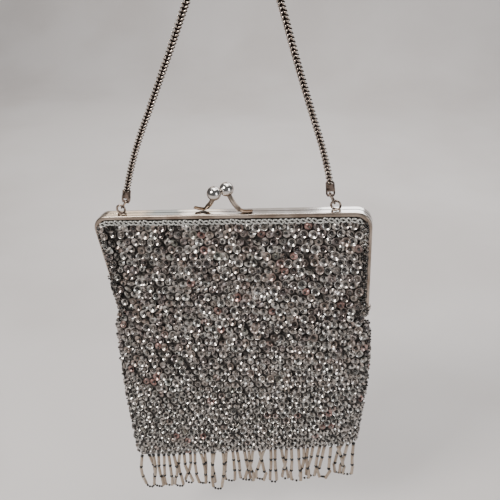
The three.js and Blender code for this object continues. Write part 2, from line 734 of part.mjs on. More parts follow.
const purse = new THREE.Group();
purse.add(
  piece("frame_front_half", frontHalf(), nickel),
  piece("frame_back_half", backHalf(), nickel),
  piece("hinge_rivet_left", hingeRivet(-1), nickel),
  piece("hinge_rivet_right", hingeRivet(1), nickel),
  piece("clasp_knob_left", claspKnob(-1), nickel),
  piece("clasp_knob_right", claspKnob(1), nickel),
  piece("ear_left", ear(-1), pewter),
  piece("ear_right", ear(1), pewter),
  piece("pouch", pouch(), sequins),
  piece("edging_front", edging(-1), thread),
  piece("edging_back", edging(1), thread),
  piece("fringe", fringe(), beads),
);
purse.rotation.y = -HANG_TILT;
purse.position.set(-HANG_OFFSET, -EAR_DEPTH, -HANG_DROP);

const model = new THREE.Group();
model.add(
  purse,
  piece("jump_link_left", jumpLink(-1), pewter),
  piece("jump_link_right", jumpLink(1), pewter),
  piece("end_cap_left", endCap(-1), pewter),
  piece("end_cap_right", endCap(1), pewter),
  piece("chain", chain(), pewter),
);

export default model;
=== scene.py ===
"""An evening purse of sequins and beads, hanging by its chain from a point above the picture.

Everything is in metres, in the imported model's own frame: the origin is where the chain hangs, the front
faces -Y and +Z is up. Shapes are worked out with numpy as whole arrays and dressed with node materials.
"""

import logging
import math
from dataclasses import dataclass, field
from enum import Enum

import bpy
import numpy as np
from mathutils import Matrix, Vector


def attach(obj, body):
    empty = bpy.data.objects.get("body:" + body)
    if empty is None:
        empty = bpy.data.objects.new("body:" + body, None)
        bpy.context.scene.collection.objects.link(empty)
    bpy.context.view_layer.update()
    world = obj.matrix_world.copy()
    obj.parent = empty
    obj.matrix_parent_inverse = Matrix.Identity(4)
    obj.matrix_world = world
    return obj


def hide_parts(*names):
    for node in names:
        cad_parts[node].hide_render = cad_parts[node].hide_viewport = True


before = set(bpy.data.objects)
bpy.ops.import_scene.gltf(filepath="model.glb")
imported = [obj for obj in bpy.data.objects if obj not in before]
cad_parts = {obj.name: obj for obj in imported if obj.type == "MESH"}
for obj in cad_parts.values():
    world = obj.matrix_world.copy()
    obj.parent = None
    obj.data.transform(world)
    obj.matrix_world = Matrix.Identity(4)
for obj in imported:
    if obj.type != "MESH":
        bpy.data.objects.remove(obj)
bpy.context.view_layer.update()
LOG = logging.getLogger("purse")
Array = np.ndarray
Number = float | Array
Colour = tuple[float, float, float]
Point = tuple[float, float, float]
Material = bpy.types.Material
Socket = bpy.types.NodeSocket
CREASE = math.radians(38)
PURSE_MIDDLE: Point = (0.0, 0.0, -0.28)
WHITE: Colour = (1.0, 1.0, 1.0)


class Side(Enum):
    """Which end or face of the purse a piece is on, as a sign on X or on Y."""

    LEFT = -1
    RIGHT = 1
    FRONT = -2
    BACK = 2

    @property
    def sign(self) -> int:
        """Minus one for left and front, plus one for right and back."""
        return -1 if self.value < 0 else 1

    @property
    def word(self) -> str:
        """The side's name in small letters, for piece names."""
        return self.name.lower()


class Shading(Enum):
    """How a mesh's faces meet: as one smooth surface, or with a crease at each sharp edge."""

    SMOOTH = "smooth"
    CREASED = "creased"


class Blend(Enum):
    """How two colours are put together."""

    MIX = "MIX"
    MULTIPLY = "MULTIPLY"


@dataclass
class Shape:
    """Points and faces of one closed surface or of many.

    Attributes:
        points: One row of x, y and z for each point.
        faces: Arrays of point numbers, each with one row for each face of that many corners.
        marks: Named numbers for each point, which materials read as attributes.
    """

    points: Array
    faces: list[Array]
    marks: dict[str, Array] = field(default_factory=dict)

    def outward(self) -> "Shape":
        """Turn every face to point outwards.

        The sum over all faces of (a x b) . c for their fan triangles is six times the volume, which is
        negative where the faces point inwards.

        Returns:
            This shape, with its faces' corners in reverse order where that was needed.
        """
        volume = 0.0
        for block in self.faces:
            a = self.points[block[:, 0]]
            for k in range(1, block.shape[1] - 1):
                b, c = self.points[block[:, k]], self.points[block[:, k + 1]]
                volume += float(np.einsum("ij,ij->", np.cross(a, b), c))
        if volume < 0:
            self.faces = [block[:, ::-1] for block in self.faces]
        return self

    def copies(self, turns: Array, places: Array, marks: dict[str, Array] | None = None) -> "Shape":
        """Repeat this shape: copy k holds each point p as turns[k] p + places[k].

        Args:
            turns: One 3 by 3 matrix for each copy, whose columns are the copy's own axes.
            places: One row of x, y and z for each copy.
            marks: Named numbers, one for each copy, given to all its points.

        Returns:
            One shape that holds every copy.
        """
        count, size = len(places), len(self.points)
        points = np.einsum("kij,nj->kni", turns, self.points) + places[:, None, :]
        shift = (np.arange(count) * size)[:, None, None]
        faces = [(block[None] + shift).reshape(-1, block.shape[1]) for block in self.faces]
        kept = {name: np.tile(values, count) for name, values in self.marks.items()}
        for name, values in (marks or {}).items():
            kept[name] = np.repeat(values, size)
        return Shape(points.reshape(-1, 3), faces, kept)


def join(shapes: list[Shape]) -> Shape:
    """Put several shapes into one.

    Args:
        shapes: Shapes that all carry the same marks.

    Returns:
        One shape with all their points, faces and marks.
    """
    starts = np.cumsum([0] + [len(shape.points) for shape in shapes])
    faces = [block + start for shape, start in zip(shapes, starts) for block in shape.faces]
    marks = {name: np.concatenate([shape.marks[name] for shape in shapes]) for name in shapes[0].marks}
    return Shape(np.concatenate([shape.points for shape in shapes]), faces, marks)


def grid(points: Array, ring: bool = False, capped: bool = False) -> Shape:
    """Make a surface from rows of points, where each row is a closed loop.

    Face (r, c) has the corners (r, c), (r, c + 1), (r + 1, c + 1) and (r + 1, c), counted round each row.

    Args:
        points: Array of rows by columns by 3.
        ring: Whether the last row joins the first.
        capped: Whether the first and last row are each closed by one face.

    Returns:
        The surface, with its faces pointing outwards.
    """
    rows, columns = points.shape[:2]
    index = np.arange(rows * columns).reshape(rows, columns)
    faces = []
    if capped:
        faces = [index[:1, ::-1], index[-1:]]
    if ring:
        index = np.vstack([index, index[:1]])
    index = np.hstack([index, index[:, :1]])
    corners = stacked(index[:-1, :-1], index[:-1, 1:], index[1:, 1:], index[1:, :-1])
    faces.append(corners.reshape(-1, 4))
    return Shape(points.reshape(-1, 3), faces).outward()


def unit(vectors: Array) -> Array:
    """Each vector divided by its length."""
    return vectors / np.maximum(np.linalg.norm(vectors, axis=-1, keepdims=True), 1e-12)


def stacked(*parts: Number) -> Array:
    """Coordinates put side by side in a last axis, each one as long as the longest."""
    return np.stack(np.broadcast_arrays(*parts), axis=-1)


def reached(path: Array) -> Array:
    """The length along a path from its start to each of its points."""
    return np.concatenate([[0.0], np.cumsum(np.linalg.norm(np.diff(path, axis=0), axis=1))])


def spaced(path: Array, count: int) -> Array:
    """Points at equal steps of length along a path of points.

    Args:
        path: One row of x, y and z for each point.
        count: How many points to return.

    Returns:
        The path's point at each of count equal steps, by linear interpolation.
    """
    length = reached(path)
    target = np.linspace(0.0, length[-1], count)
    return stacked(*(np.interp(target, length, part) for part in path.T))


def spline(points: list[Point] | Array, count: int) -> Array:
    """A smooth curve through points, the same kind that the solids follow.

    Each stretch is a cubic through its two ends, whose slopes weigh the neighbouring steps by the square
    root of their lengths.

    Args:
        points: The points it passes through, in order.
        count: How many points to return.

    Returns:
        Points at equal steps along the curve.
    """
    given = np.asarray(points, float)
    first, last = 2 * given[0] - given[1], 2 * given[-1] - given[-2]
    whole = np.vstack([first, given, last])
    p0, p1, p2, p3 = whole[:-3], whole[1:-2], whole[2:-1], whole[3:]
    steps = ((p0, p1), (p1, p2), (p2, p3))
    d0, d1, d2 = (np.linalg.norm(b - a, axis=1)[:, None] ** 0.5 for a, b in steps)
    m1 = ((p1 - p0) / d0 - (p2 - p0) / (d0 + d1) + (p2 - p1) / d1) * d1
    m2 = ((p2 - p1) / d1 - (p3 - p1) / (d1 + d2) + (p3 - p2) / d2) * d1
    t = np.linspace(0.0, 1.0, 40, endpoint=False)[None, :, None]
    p1, p2, m1, m2 = (a[:, None, :] for a in (p1, p2, m1, m2))
    curve = (2 * t**3 - 3 * t**2 + 1) * p1 + (t**3 - 2 * t**2 + t) * m1
    curve = curve + (3 * t**2 - 2 * t**3) * p2 + (t**3 - t**2) * m2
    return spaced(np.vstack([curve.reshape(-1, 3), given[-1:]]), count)


def tube(
    path: Array,
    wide: Number,
    thick: Number,
    reference: Array | Point,
    sides: int = 12,
    ring: bool = False,
) -> Shape:
    """Carry an ellipse along a path: point (i, j) is path[i] + wide cos(a) u + thick sin(a) v.

    u is the part of the reference direction that is square to the path, and v is square to both.

    Args:
        path: One row of x, y and z for each step.
        wide: Half the ellipse's size along the reference direction, one number or one for each step.
        thick: Half its size the other way.
        reference: The direction that wide runs along, for all steps or for each.
        sides: How many points the ellipse has.
        ring: Whether the path closes on itself.

    Returns:
        A closed surface, with the marks along, in metres, and around, from 0 to 1.
    """
    ahead = np.roll(path, -1, axis=0) - np.roll(path, 1, axis=0) if ring else np.gradient(path, axis=0)
    ahead = unit(ahead)
    towards = np.broadcast_to(np.asarray(reference, float), path.shape)
    u = unit(towards - ahead * np.sum(towards * ahead, axis=1, keepdims=True))
    v = np.cross(ahead, u)
    angle = 2 * np.pi * np.arange(sides) / sides
    wide = np.broadcast_to(np.asarray(wide, float), len(path))[:, None, None]
    thick = np.broadcast_to(np.asarray(thick, float), len(path))[:, None, None]
    rows = path[:, None] + wide * np.cos(angle)[None, :, None] * u[:, None]
    rows = rows + thick * np.sin(angle)[None, :, None] * v[:, None]
    shape = grid(rows, ring=ring, capped=not ring)
    steps = reached(path)
    shape.marks = {"along": np.repeat(steps, sides), "around": np.tile(angle / (2 * np.pi), len(path))}
    return shape


def lathe(profile: Array, angle: Array) -> Array:
    """Rings (r cos a, r sin a, h) about Z, one for each radius and height of a profile."""
    radius, height = profile[:, :1], profile[:, 1:]
    return stacked(radius * np.cos(angle), radius * np.sin(angle), height)


def turned(profile: Array, sides: int) -> Shape:
    """Turn a profile about Z: point (i, j) is (r cos a, r sin a, h), with both ends closed.

    Args:
        profile: One row of radius and height for each ring.
        sides: How many points each ring has.

    Returns:
        A closed surface.
    """
    return grid(lathe(profile, 2 * np.pi * np.arange(sides) / sides), capped=True)


def ball_profile(radius: float, rings: int, squash: float = 1.0) -> Array:
    """A ball's profile for turned: radius sin(a) and squash radius cos(a), just short of both poles.

    Args:
        radius: The ball's radius.
        rings: How many rings it has.
        squash: Its height as a share of its width.

    Returns:
        One row of radius and height for each ring.
    """
    short = 0.12 if rings > 6 else 0.35
    angle = np.linspace(np.pi - short, short, rings)
    return stacked(radius * np.sin(angle), squash * radius * np.cos(angle))


def axes(x: Array, y: Array, z: Array) -> Array:
    """One 3 by 3 matrix for each row of the three direction arrays, which are its columns."""
    return stacked(x, y, z)


def put(name: str, data: bpy.types.ID) -> bpy.types.Object:
    """Put a new object into the scene.

    Args:
        name: The object's name.
        data: Its mesh, light or camera.

    Returns:
        The object.
    """
    placed = bpy.data.objects.new(name, data)
    bpy.context.scene.collection.objects.link(placed)
    return placed


def add_piece(
    name: str,
    shape: Shape,
    material: Material,
    shading: Shading = Shading.SMOOTH,
    stands_for: tuple[str, ...] = (),
) -> bpy.types.Object:
    """Put a shape into the scene as a piece of the purse.

    Args:
        name: The piece's name.
        shape: Its points, faces and marks.
        material: Its finish.
        shading: How its faces meet.
        stands_for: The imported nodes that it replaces.

    Returns:
        The new object, which rides on the purse.
    """
    mesh = bpy.data.meshes.new(name)
    mesh.vertices.add(len(shape.points))
    mesh.vertices.foreach_set("co", np.ascontiguousarray(shape.points, np.float32).ravel())
    corners = np.concatenate([block.ravel() for block in shape.faces]).astype(np.int32)
    sizes = np.concatenate([np.full(len(block), block.shape[1], np.int32) for block in shape.faces])
    mesh.loops.add(len(corners))
    mesh.loops.foreach_set("vertex_index", corners)
    mesh.polygons.add(len(sizes))
    mesh.polygons.foreach_set("loop_start", np.concatenate([[0], np.cumsum(sizes)[:-1]]).astype(np.int32))
    mesh.polygons.foreach_set("loop_total", sizes)
    mesh.polygons.foreach_set("use_smooth", np.ones(len(sizes), bool))
    mesh.update(calc_edges=True)
    for mark, values in shape.marks.items():
        attribute = mesh.attributes.new(mark, "FLOAT", "POINT")
        attribute.data.foreach_set("value", np.ascontiguousarray(values, np.float32))
    mesh.validate()
    if shading is Shading.CREASED:
        mesh.set_sharp_from_angle(angle=CREASE)
    mesh.materials.append(material)
    piece = put(name, mesh)
    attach(piece, "root")
    if stands_for:
        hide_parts(*stands_for)
    LOG.info("%s: %d points, %d faces", name, len(shape.points), len(sizes))
    return piece


class NodeSheet:
    """A new material with a Principled shader, and short ways to add nodes to it."""

    def __init__(self, name: str) -> None:
        """Start the material.

        Args:
            name: The material's name.
        """
        self.material = bpy.data.materials.new(name)
        self.material.use_nodes = True
        self.tree = self.material.node_tree
        self.shader = self.tree.nodes["Principled BSDF"]

    def set(self, **values: float | tuple) -> "NodeSheet":
        """Set numbers and colours on the shader's own sockets.

        Args:
            values: Numbers and colours by socket name, with _ for a space.

        Returns:
            This sheet.
        """
        for key, value in values.items():
            socket = self.shader.inputs[key.replace("_", " ")]
            socket.default_value = (*value, 1.0) if isinstance(value, tuple) else value
        return self

    def add(self, kind: str, inputs: dict | None = None, **settings: object) -> bpy.types.Node:
        """Add a node.

        Args:
            kind: The node's type, without the words ShaderNode.
            inputs: Numbers, colours or other nodes' sockets for its inputs, by name or number.
            settings: Its own properties.

        Returns:
            The new node.
        """
        node = self.tree.nodes.new(f"ShaderNode{kind}")
        for key, value in settings.items():
            setattr(node, key, value)
        for key, value in (inputs or {}).items():
            if isinstance(value, Socket):
                self.tree.links.new(value, node.inputs[key])
            else:
                node.inputs[key].default_value = value
        return node

    def place(self) -> Socket:
        """The Object coordinates' socket."""
        return self.add("TexCoord").outputs["Object"]

    def mark(self, name: str) -> Socket:
        """The socket of one of the piece's own numbers."""
        return self.add("Attribute", attribute_name=name).outputs["Fac"]

    def noise(self, scale: float, detail: float = 4.0, place: Socket | None = None) -> Socket:
        """A noise pattern's number, with scale in turns for each metre."""
        inputs = {"Vector": place or self.place(), "Scale": scale, "Detail": detail}
        return self.add("TexNoise", inputs).outputs["Fac"]

    def ramp(self, value: Socket, stops: list[tuple[float, Colour]]) -> Socket:
        """Colours by a number.

        Args:
            value: The socket of a number from 0 to 1.
            stops: Places from 0 to 1 and their colours.

        Returns:
            The socket of the colour.
        """
        node = self.add("ValToRGB", {"Fac": value})
        elements = node.color_ramp.elements
        while len(elements) < len(stops):
            elements.new(0.5)
        for element, (place, colour) in zip(elements, stops):
            element.position = place
            element.color = (*colour, 1.0)
        return node.outputs["Color"]

    def span(
        self, value: Socket, low: float, high: float, start: float = 0.0, end: float = 1.0
    ) -> Socket:
        """A number moved from the span start to end, to the span low to high."""
        inputs = {"Value": value, "From Min": start, "From Max": end, "To Min": low, "To Max": high}
        return self.add("MapRange", inputs).outputs["Result"]

    def blend(self, first: Socket, second: Socket, kind: Blend, amount: float | Socket) -> Socket:
        """Two colours put together, the second by an amount that is a number or a socket."""
        inputs = {"Fac": amount, "Color1": first, "Color2": second}
        return self.add("MixRGB", inputs, blend_type=kind.value).outputs["Color"]

    def wire(self, socket: Socket, name: str) -> "NodeSheet":
        """Join a socket to the shader's input of that name."""
        self.tree.links.new(socket, self.shader.inputs[name])
        return self

    def bump(self, height: Socket, distance: float, strength: float = 1.0) -> "NodeSheet":
        """Raise the surface by a pattern.

        Args:
            height: The pattern's number.
            distance: How far it raises the surface, in metres.
            strength: How much of that is shown.

        Returns:
            This sheet.
        """
        inputs = {"Height": height, "Distance": distance, "Strength": strength}
        self.tree.links.new(self.add("Bump", inputs).outputs["Normal"], self.shader.inputs["Normal"])
        return self


@dataclass(frozen=True)
class PolishedNickel:
    """Nickel plate: bright on top, browner where its wear and shade mark is high, and darkest where that
    mark is 1, which is painted shade.

    The top's left part is beige, with a bluish-dark painted reflection beside it, by the distance across
    the purse.
    """

    name: str = "polished_nickel"
    bright: Colour = (0.92, 0.905, 0.885)
    dull: Colour = (0.74, 0.70, 0.65)
    beige: Colour = (0.62, 0.535, 0.44)
    painted_reflection: Colour = (0.27, 0.31, 0.33)
    worn: Colour = (0.235, 0.18, 0.14)
    champagne: Colour = (0.47, 0.395, 0.335)
    shade: Colour = (0.40, 0.345, 0.30)
    edge: Colour = WHITE
    roughness: float = 0.1

    def make(self) -> Material:
        """Build the material.

        Returns:
            The new material.
        """
        sheet = NodeSheet(self.name)
        sheet.set(Metallic=1.0, Specular_Tint=self.edge)
        clouds = sheet.noise(scale=48.0, detail=5.0)
        across = sheet.add("SeparateXYZ", {"Vector": sheet.place()}).outputs["X"]
        wander = sheet.span(sheet.noise(scale=160.0, detail=3.0), -0.006, 0.006)
        reach = sheet.add("Math", {0: across, 1: wander}, operation="ADD").outputs[0]
        plate = sheet.ramp(clouds, [(0.38, self.dull), (0.5, self.bright)])
        # Painted reflection: a bluish-dark band across the top, just right of its beige left part.
        stops = [(0.32, self.beige), (0.40, self.painted_reflection), (0.56, self.painted_reflection), (0.64, WHITE)]
        left = sheet.ramp(sheet.span(reach, 0.0, 1.0, -0.11, 0.0), stops)
        plate = sheet.blend(plate, left, Blend.MULTIPLY, 1.0)
        brown = sheet.ramp(clouds, [(0.36, self.worn), (0.62, self.champagne)])
        # This mark paints wear and shade alike: the plate's own browner tone, and painted shade where it
        # nears 1.
        worn = sheet.mark("worn")
        mix = sheet.blend(plate, brown, Blend.MIX, sheet.span(worn, 0.0, 1.0, 0.0, 0.8))
        # Painted shade: where the mark goes from 0.8 to 1 the colour is multiplied down to the shade colour.
        dark = sheet.ramp(worn, [(0.8, WHITE), (1.0, self.shade)])
        sheet.wire(sheet.blend(mix, dark, Blend.MULTIPLY, 1.0), "Base Color")
        sheet.wire(sheet.span(worn, self.roughness, self.roughness * 3.2, 0.0, 0.8), "Roughness")
        stretch = sheet.add("Mapping", {"Vector": sheet.place(), "Scale": (0.12, 1.0, 1.0)})
        grain = sheet.noise(scale=2600.0, detail=3.0, place=stretch.outputs["Vector"])
        sheet.bump(grain, distance=0.00003, strength=0.3)
        return sheet.material


@dataclass(frozen=True)
class DarkPewter:
    """Dark plated wire, with painted highlight where the mark named height is high and painted shade where
    it is low.
    """

    name: str = "dark_pewter"
    deep: Colour = (0.02, 0.014, 0.012)
    middle: Colour = (0.10, 0.072, 0.06)
    bright: Colour = (0.90, 0.78, 0.68)

    def make(self) -> Material:
        """Build the material.

        Returns:
            The new material.
        """
        sheet = NodeSheet(self.name)
        sheet.set(Metallic=0.95)
        height = sheet.mark("height")
        # Painted shade near-black where the mark is low, painted highlight pale where it is high.
        stops = [(0.0, self.deep), (0.62, self.middle), (0.88, self.bright)]
        tone = sheet.ramp(height, stops)
        spots = sheet.ramp(sheet.noise(scale=420.0), [(0.35, (0.55, 0.5, 0.46)), (0.6, WHITE)])
        sheet.wire(sheet.blend(tone, spots, Blend.MULTIPLY, 0.8), "Base Color")
        sheet.wire(sheet.span(height, 0.45, 0.2), "Roughness")
        sheet.bump(sheet.noise(scale=1500.0), distance=0.00005, strength=0.4)
        return sheet.material


@dataclass(frozen=True)
class WornPlate:
    """The hardware's finish: warm silver plate, browned in clouds."""

    name: str = "worn_plate"
    brown: Colour = (0.065, 0.045, 0.035)
    silver: Colour = (0.37, 0.30, 0.25)

    def make(self) -> Material:
        """Build the material.

        Returns:
            The new material.
        """
        sheet = NodeSheet(self.name)
        sheet.set(Metallic=1.0)
        clouds = sheet.noise(scale=300.0, detail=5.0)
        sheet.wire(sheet.ramp(clouds, [(0.36, self.brown), (0.56, self.silver)]), "Base Color")
        sheet.wire(sheet.span(clouds, 0.34, 0.2, 0.3, 0.7), "Roughness")
        sheet.bump(sheet.noise(scale=1800.0), distance=0.00004, strength=0.4)
        return sheet.material


@dataclass(frozen=True)
class SequinFoil:
    """Cupped sequins, each of its own grey, with a few that flash rose, green or straw."""

    name: str = "sequin_foil"
    roughness: float = 0.21

    def make(self) -> Material:
        """Build the material.

        Returns:
            The new material.
        """
        sheet = NodeSheet(self.name)
        sheet.set(Metallic=0.74, Coat_Weight=0.35, Coat_Roughness=0.07)
        greys = [
            (0.0, (0.28, 0.24, 0.22)),
            (0.12, (0.40, 0.345, 0.335)),
            (0.25, (0.47, 0.445, 0.425)),
            (0.42, (0.54, 0.50, 0.475)),
            (0.58, (0.50, 0.495, 0.47)),
            (0.74, (0.72, 0.69, 0.66)),
            (0.86, (0.53, 0.45, 0.40)),
            (0.93, (0.46, 0.39, 0.36)),
            (0.965, (0.50, 0.30, 0.27)),
            (0.98, (0.42, 0.43, 0.385)),
            (1.0, (0.80, 0.78, 0.75)),
        ]
        tone = sheet.ramp(sheet.mark("tint"), greys)
        smear = sheet.ramp(sheet.noise(scale=700.0, detail=3.0), [(0.36, (0.5, 0.44, 0.40)), (0.58, WHITE)])
        sheet.wire(sheet.blend(tone, smear, Blend.MULTIPLY, 0.9), "Base Color")
        rough = sheet.span(sheet.mark("tint"), self.roughness * 0.7, self.roughness * 1.5)
        sheet.wire(rough, "Roughness")
        return sheet.material


@dataclass(frozen=True)
class JetBead:
    """Near-black glass seed beads with a little metal in them, some a shade paler."""

    name: str = "jet_bead"

    def make(self) -> Material:
        """Build the material.

        Returns:
            The new material.
        """
        sheet = NodeSheet(self.name)
        sheet.set(Metallic=0.2, Roughness=0.2, Coat_Weight=0.35, Coat_Roughness=0.05)
        tones = [(0.0, (0.006, 0.005, 0.005)), (0.65, (0.022, 0.019, 0.017)), (1.0, (0.24, 0.205, 0.18))]
        sheet.wire(sheet.ramp(sheet.mark("tint"), tones), "Base Color")
        return sheet.material


@dataclass(frozen=True)
class ChampagneGlass:
    """Bugle beads of pale champagne glass with a cloudy thread channel."""

    name: str = "champagne_glass"
    colour: Colour = (0.44, 0.335, 0.245)
    pale: Colour = (0.64, 0.53, 0.42)

    def make(self) -> Material:
        """Build the material.

        Returns:
            The new material.
        """
        sheet = NodeSheet(self.name)
        sheet.set(Roughness=0.15, IOR=1.5, Transmission_Weight=0.3, Coat_Weight=0.4, Coat_Roughness=0.05)
        tone = sheet.ramp(sheet.mark("tint"), [(0.0, self.colour), (0.9, self.pale)])
        cloud = sheet.ramp(sheet.noise(scale=500.0, detail=2.0), [(0.35, (0.8, 0.76, 0.72)), (0.65, WHITE)])
        sheet.wire(sheet.blend(tone, cloud, Blend.MULTIPLY, 0.7), "Base Color")
        return sheet.material


@dataclass(frozen=True)
class CrochetCloth:
    """The dark crocheted ground under the sequins: small knots, close together, with painted shade between
    them.
    """

    name: str = "crochet_ground"
    knot: float = 0.0021

    def make(self) -> Material:
        """Build the material.

        Returns:
            The new material.
        """
        sheet = NodeSheet(self.name)
        sheet.set(Roughness=0.85, Sheen_Weight=0.25, Sheen_Roughness=0.5)
        cells = sheet.add("TexVoronoi", {"Vector": sheet.place(), "Scale": 1 / self.knot})
        # Painted shade: each knot is lighter at its middle and near-black where it meets the next.
        tones = [(0.0, (0.12, 0.10, 0.085)), (0.45, (0.045, 0.037, 0.032)), (0.8, (0.01, 0.008, 0.007))]
        sheet.wire(sheet.ramp(cells.outputs["Distance"], tones), "Base Color")
        low = sheet.span(cells.outputs["Distance"], 1.0, 0.0, 0.0, 0.8)
        sheet.bump(low, distance=0.0009, strength=0.9)
        return sheet.material


@dataclass(frozen=True)
class SilverThread:
    """Silvery grey twisted thread: slanting plies along each strand, with painted shade between them."""

    name: str = "silver_thread"
    light: Colour = (0.90, 0.895, 0.85)
    dark: Colour = (0.035, 0.03, 0.028)
    ply: float = 0.0016

    def make(self) -> Material:
        """Build the material.

        Returns:
            The new material.
        """
        sheet = NodeSheet(self.name)
        sheet.set(Metallic=0.35, Roughness=0.4, Sheen_Weight=0.3)
        turns = 2 * math.pi / self.ply
        along = sheet.add("Math", {0: sheet.mark("along"), 1: turns}, operation="MULTIPLY")
        around = sheet.add("Math", {0: sheet.mark("around"), 1: 4 * math.pi}, operation="MULTIPLY")
        total = sheet.add("Math", {0: along.outputs[0], 1: around.outputs[0]}, operation="ADD")
        wave = sheet.add("Math", {0: total.outputs[0]}, operation="SINE").outputs[0]
        height = sheet.span(wave, 0.0, 1.0, -1.0, 1.0)
        # Painted shade: near-black in the grooves between the plies, light on their crests.
        sheet.wire(sheet.ramp(height, [(0.05, self.dark), (0.5, self.light)]), "Base Color")
        sheet.bump(height, distance=0.0002, strength=0.8)
        return sheet.material


@dataclass(frozen=True)
class PaleBackdrop:
    """The plain pale floor and its rise behind, a shade uneven."""

    name: str = "pale_backdrop"
    low: Colour = (0.565, 0.535, 0.52)
    high: Colour = (0.62, 0.595, 0.585)

    def make(self) -> Material:
        """Build the material.

        Returns:
            The new material.
        """
        sheet = NodeSheet(self.name)
        sheet.set(Roughness=0.95)
        clouds = sheet.noise(scale=3.2, detail=6.0)
        sheet.wire(sheet.ramp(clouds, [(0.38, self.low), (0.62, self.high)]), "Base Color")
        return sheet.material


@dataclass(frozen=True)
class Hanging:
    """How the purse hangs under its chain.

    Attributes:
        drop: The frame's middle below the hanging point.
        offset: The frame's middle to the left of it.
        depth: The frame's middle behind it.
        tilt: The lean of the frame, its left end lower, in radians.
    """

    drop: float = 0.1798
    offset: float = 0.0126
    depth: float = 0.0027
    tilt: float = math.radians(5.7)

    def to_row(self, local: Array) -> Array:
        """Turn the purse's own points by its lean and move them under the hanging point.

        Args:
            local: Points with x across, y to the back and z up from the frame's top face.

        Returns:
            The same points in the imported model's frame.
        """
        cos, sin = math.cos(self.tilt), math.sin(self.tilt)
        x = local[..., 0] * cos - local[..., 2] * sin - self.offset
        z = local[..., 0] * sin + local[..., 2] * cos - self.drop
        return stacked(x, local[..., 1] + self.depth, z)


@dataclass(frozen=True)
class FrameSizes:
    """Sizes of the metal frame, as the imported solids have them.

    Attributes:
        half_width: Half the frame's width, half_depth half its depth and half_gap half the gap inside.
        arm: The depth of the rivets below the top face.
        lean_in: How far the arms lean in down there.
        corner: The round corners' radius.
        sheet: The metal's thickness.
        lip: How far the lips reach down.
        lug: The lugs' radius.
        clearance: The space between pieces that fit together.
    """

    half_width: float = 0.1
    half_depth: float = 0.0052
    half_gap: float = 0.0002
    arm: float = 0.078
    lean_in: float = 0.0034
    corner: float = 0.0115
    sheet: float = 0.0009
    lip: float = 0.003
    lug: float = 0.0039
    clearance: float = 0.0003

    def taper(self, down: Array) -> Array:
        """How far the arms lean in at a depth below the top, as a factor on x."""
        return 1 - (self.lean_in / self.half_width) * (np.maximum(0, down) / self.arm)

    def outline(self, bottom: float, corner_steps: int = 18, straight: int = 40) -> tuple[Array, Array]:
        """The frame's outer edge as a U, from the left arm's end over the top to the right arm's end.

        Two arms and a top, straight, joined by quarter circles of the corner's radius.

        Args:
            bottom: The height of the arms' ends, below 0.
            corner_steps: How many points each corner has.
            straight: How many points each straight stretch has.

        Returns:
            Points (x, z), and the outward direction at each.
        """
        w, r = self.half_width, self.corner
        turn = np.linspace(np.pi, np.pi / 2, corner_steps)
        arc = stacked(-w + r + r * np.cos(turn), -r + r * np.sin(turn))
        arc_out = stacked(np.cos(turn), np.sin(turn))
        arm = stacked(-w, np.linspace(bottom, -r, straight)[:-1])
        top = stacked(np.linspace(-w + r, w - r, 2 * straight)[1:-1], 0.0)
        left = np.vstack([arm, arc])
        left_out = np.vstack([np.tile([-1.0, 0.0], (len(arm), 1)), arc_out])
        mirror = np.array([-1.0, 1.0])
        points = np.vstack([left, top, left[::-1] * mirror])
        outward = np.vstack([left_out, np.tile([0.0, 1.0], (len(top), 1)), left_out[::-1] * mirror])
        return points, outward


@dataclass(frozen=True)
class Purse:
    """What all sub-assemblies share: how the purse hangs and its frame's sizes."""

    hanging: Hanging = Hanging()
    sizes: FrameSizes = FrameSizes()

    def settle(self, shape: Shape, tapered: bool = False) -> Shape:
        """Move a shape from the purse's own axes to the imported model's frame.

        Args:
            shape: A shape in the purse's own axes.
            tapered: Whether it leans in with the arms first.

        Returns:
            The same shape, moved.
        """
        points = shape.points.copy()
        if tapered:
            points[:, 0] *= self.sizes.taper(-points[:, 2])
        shape.points = self.hanging.to_row(points)
        return shape


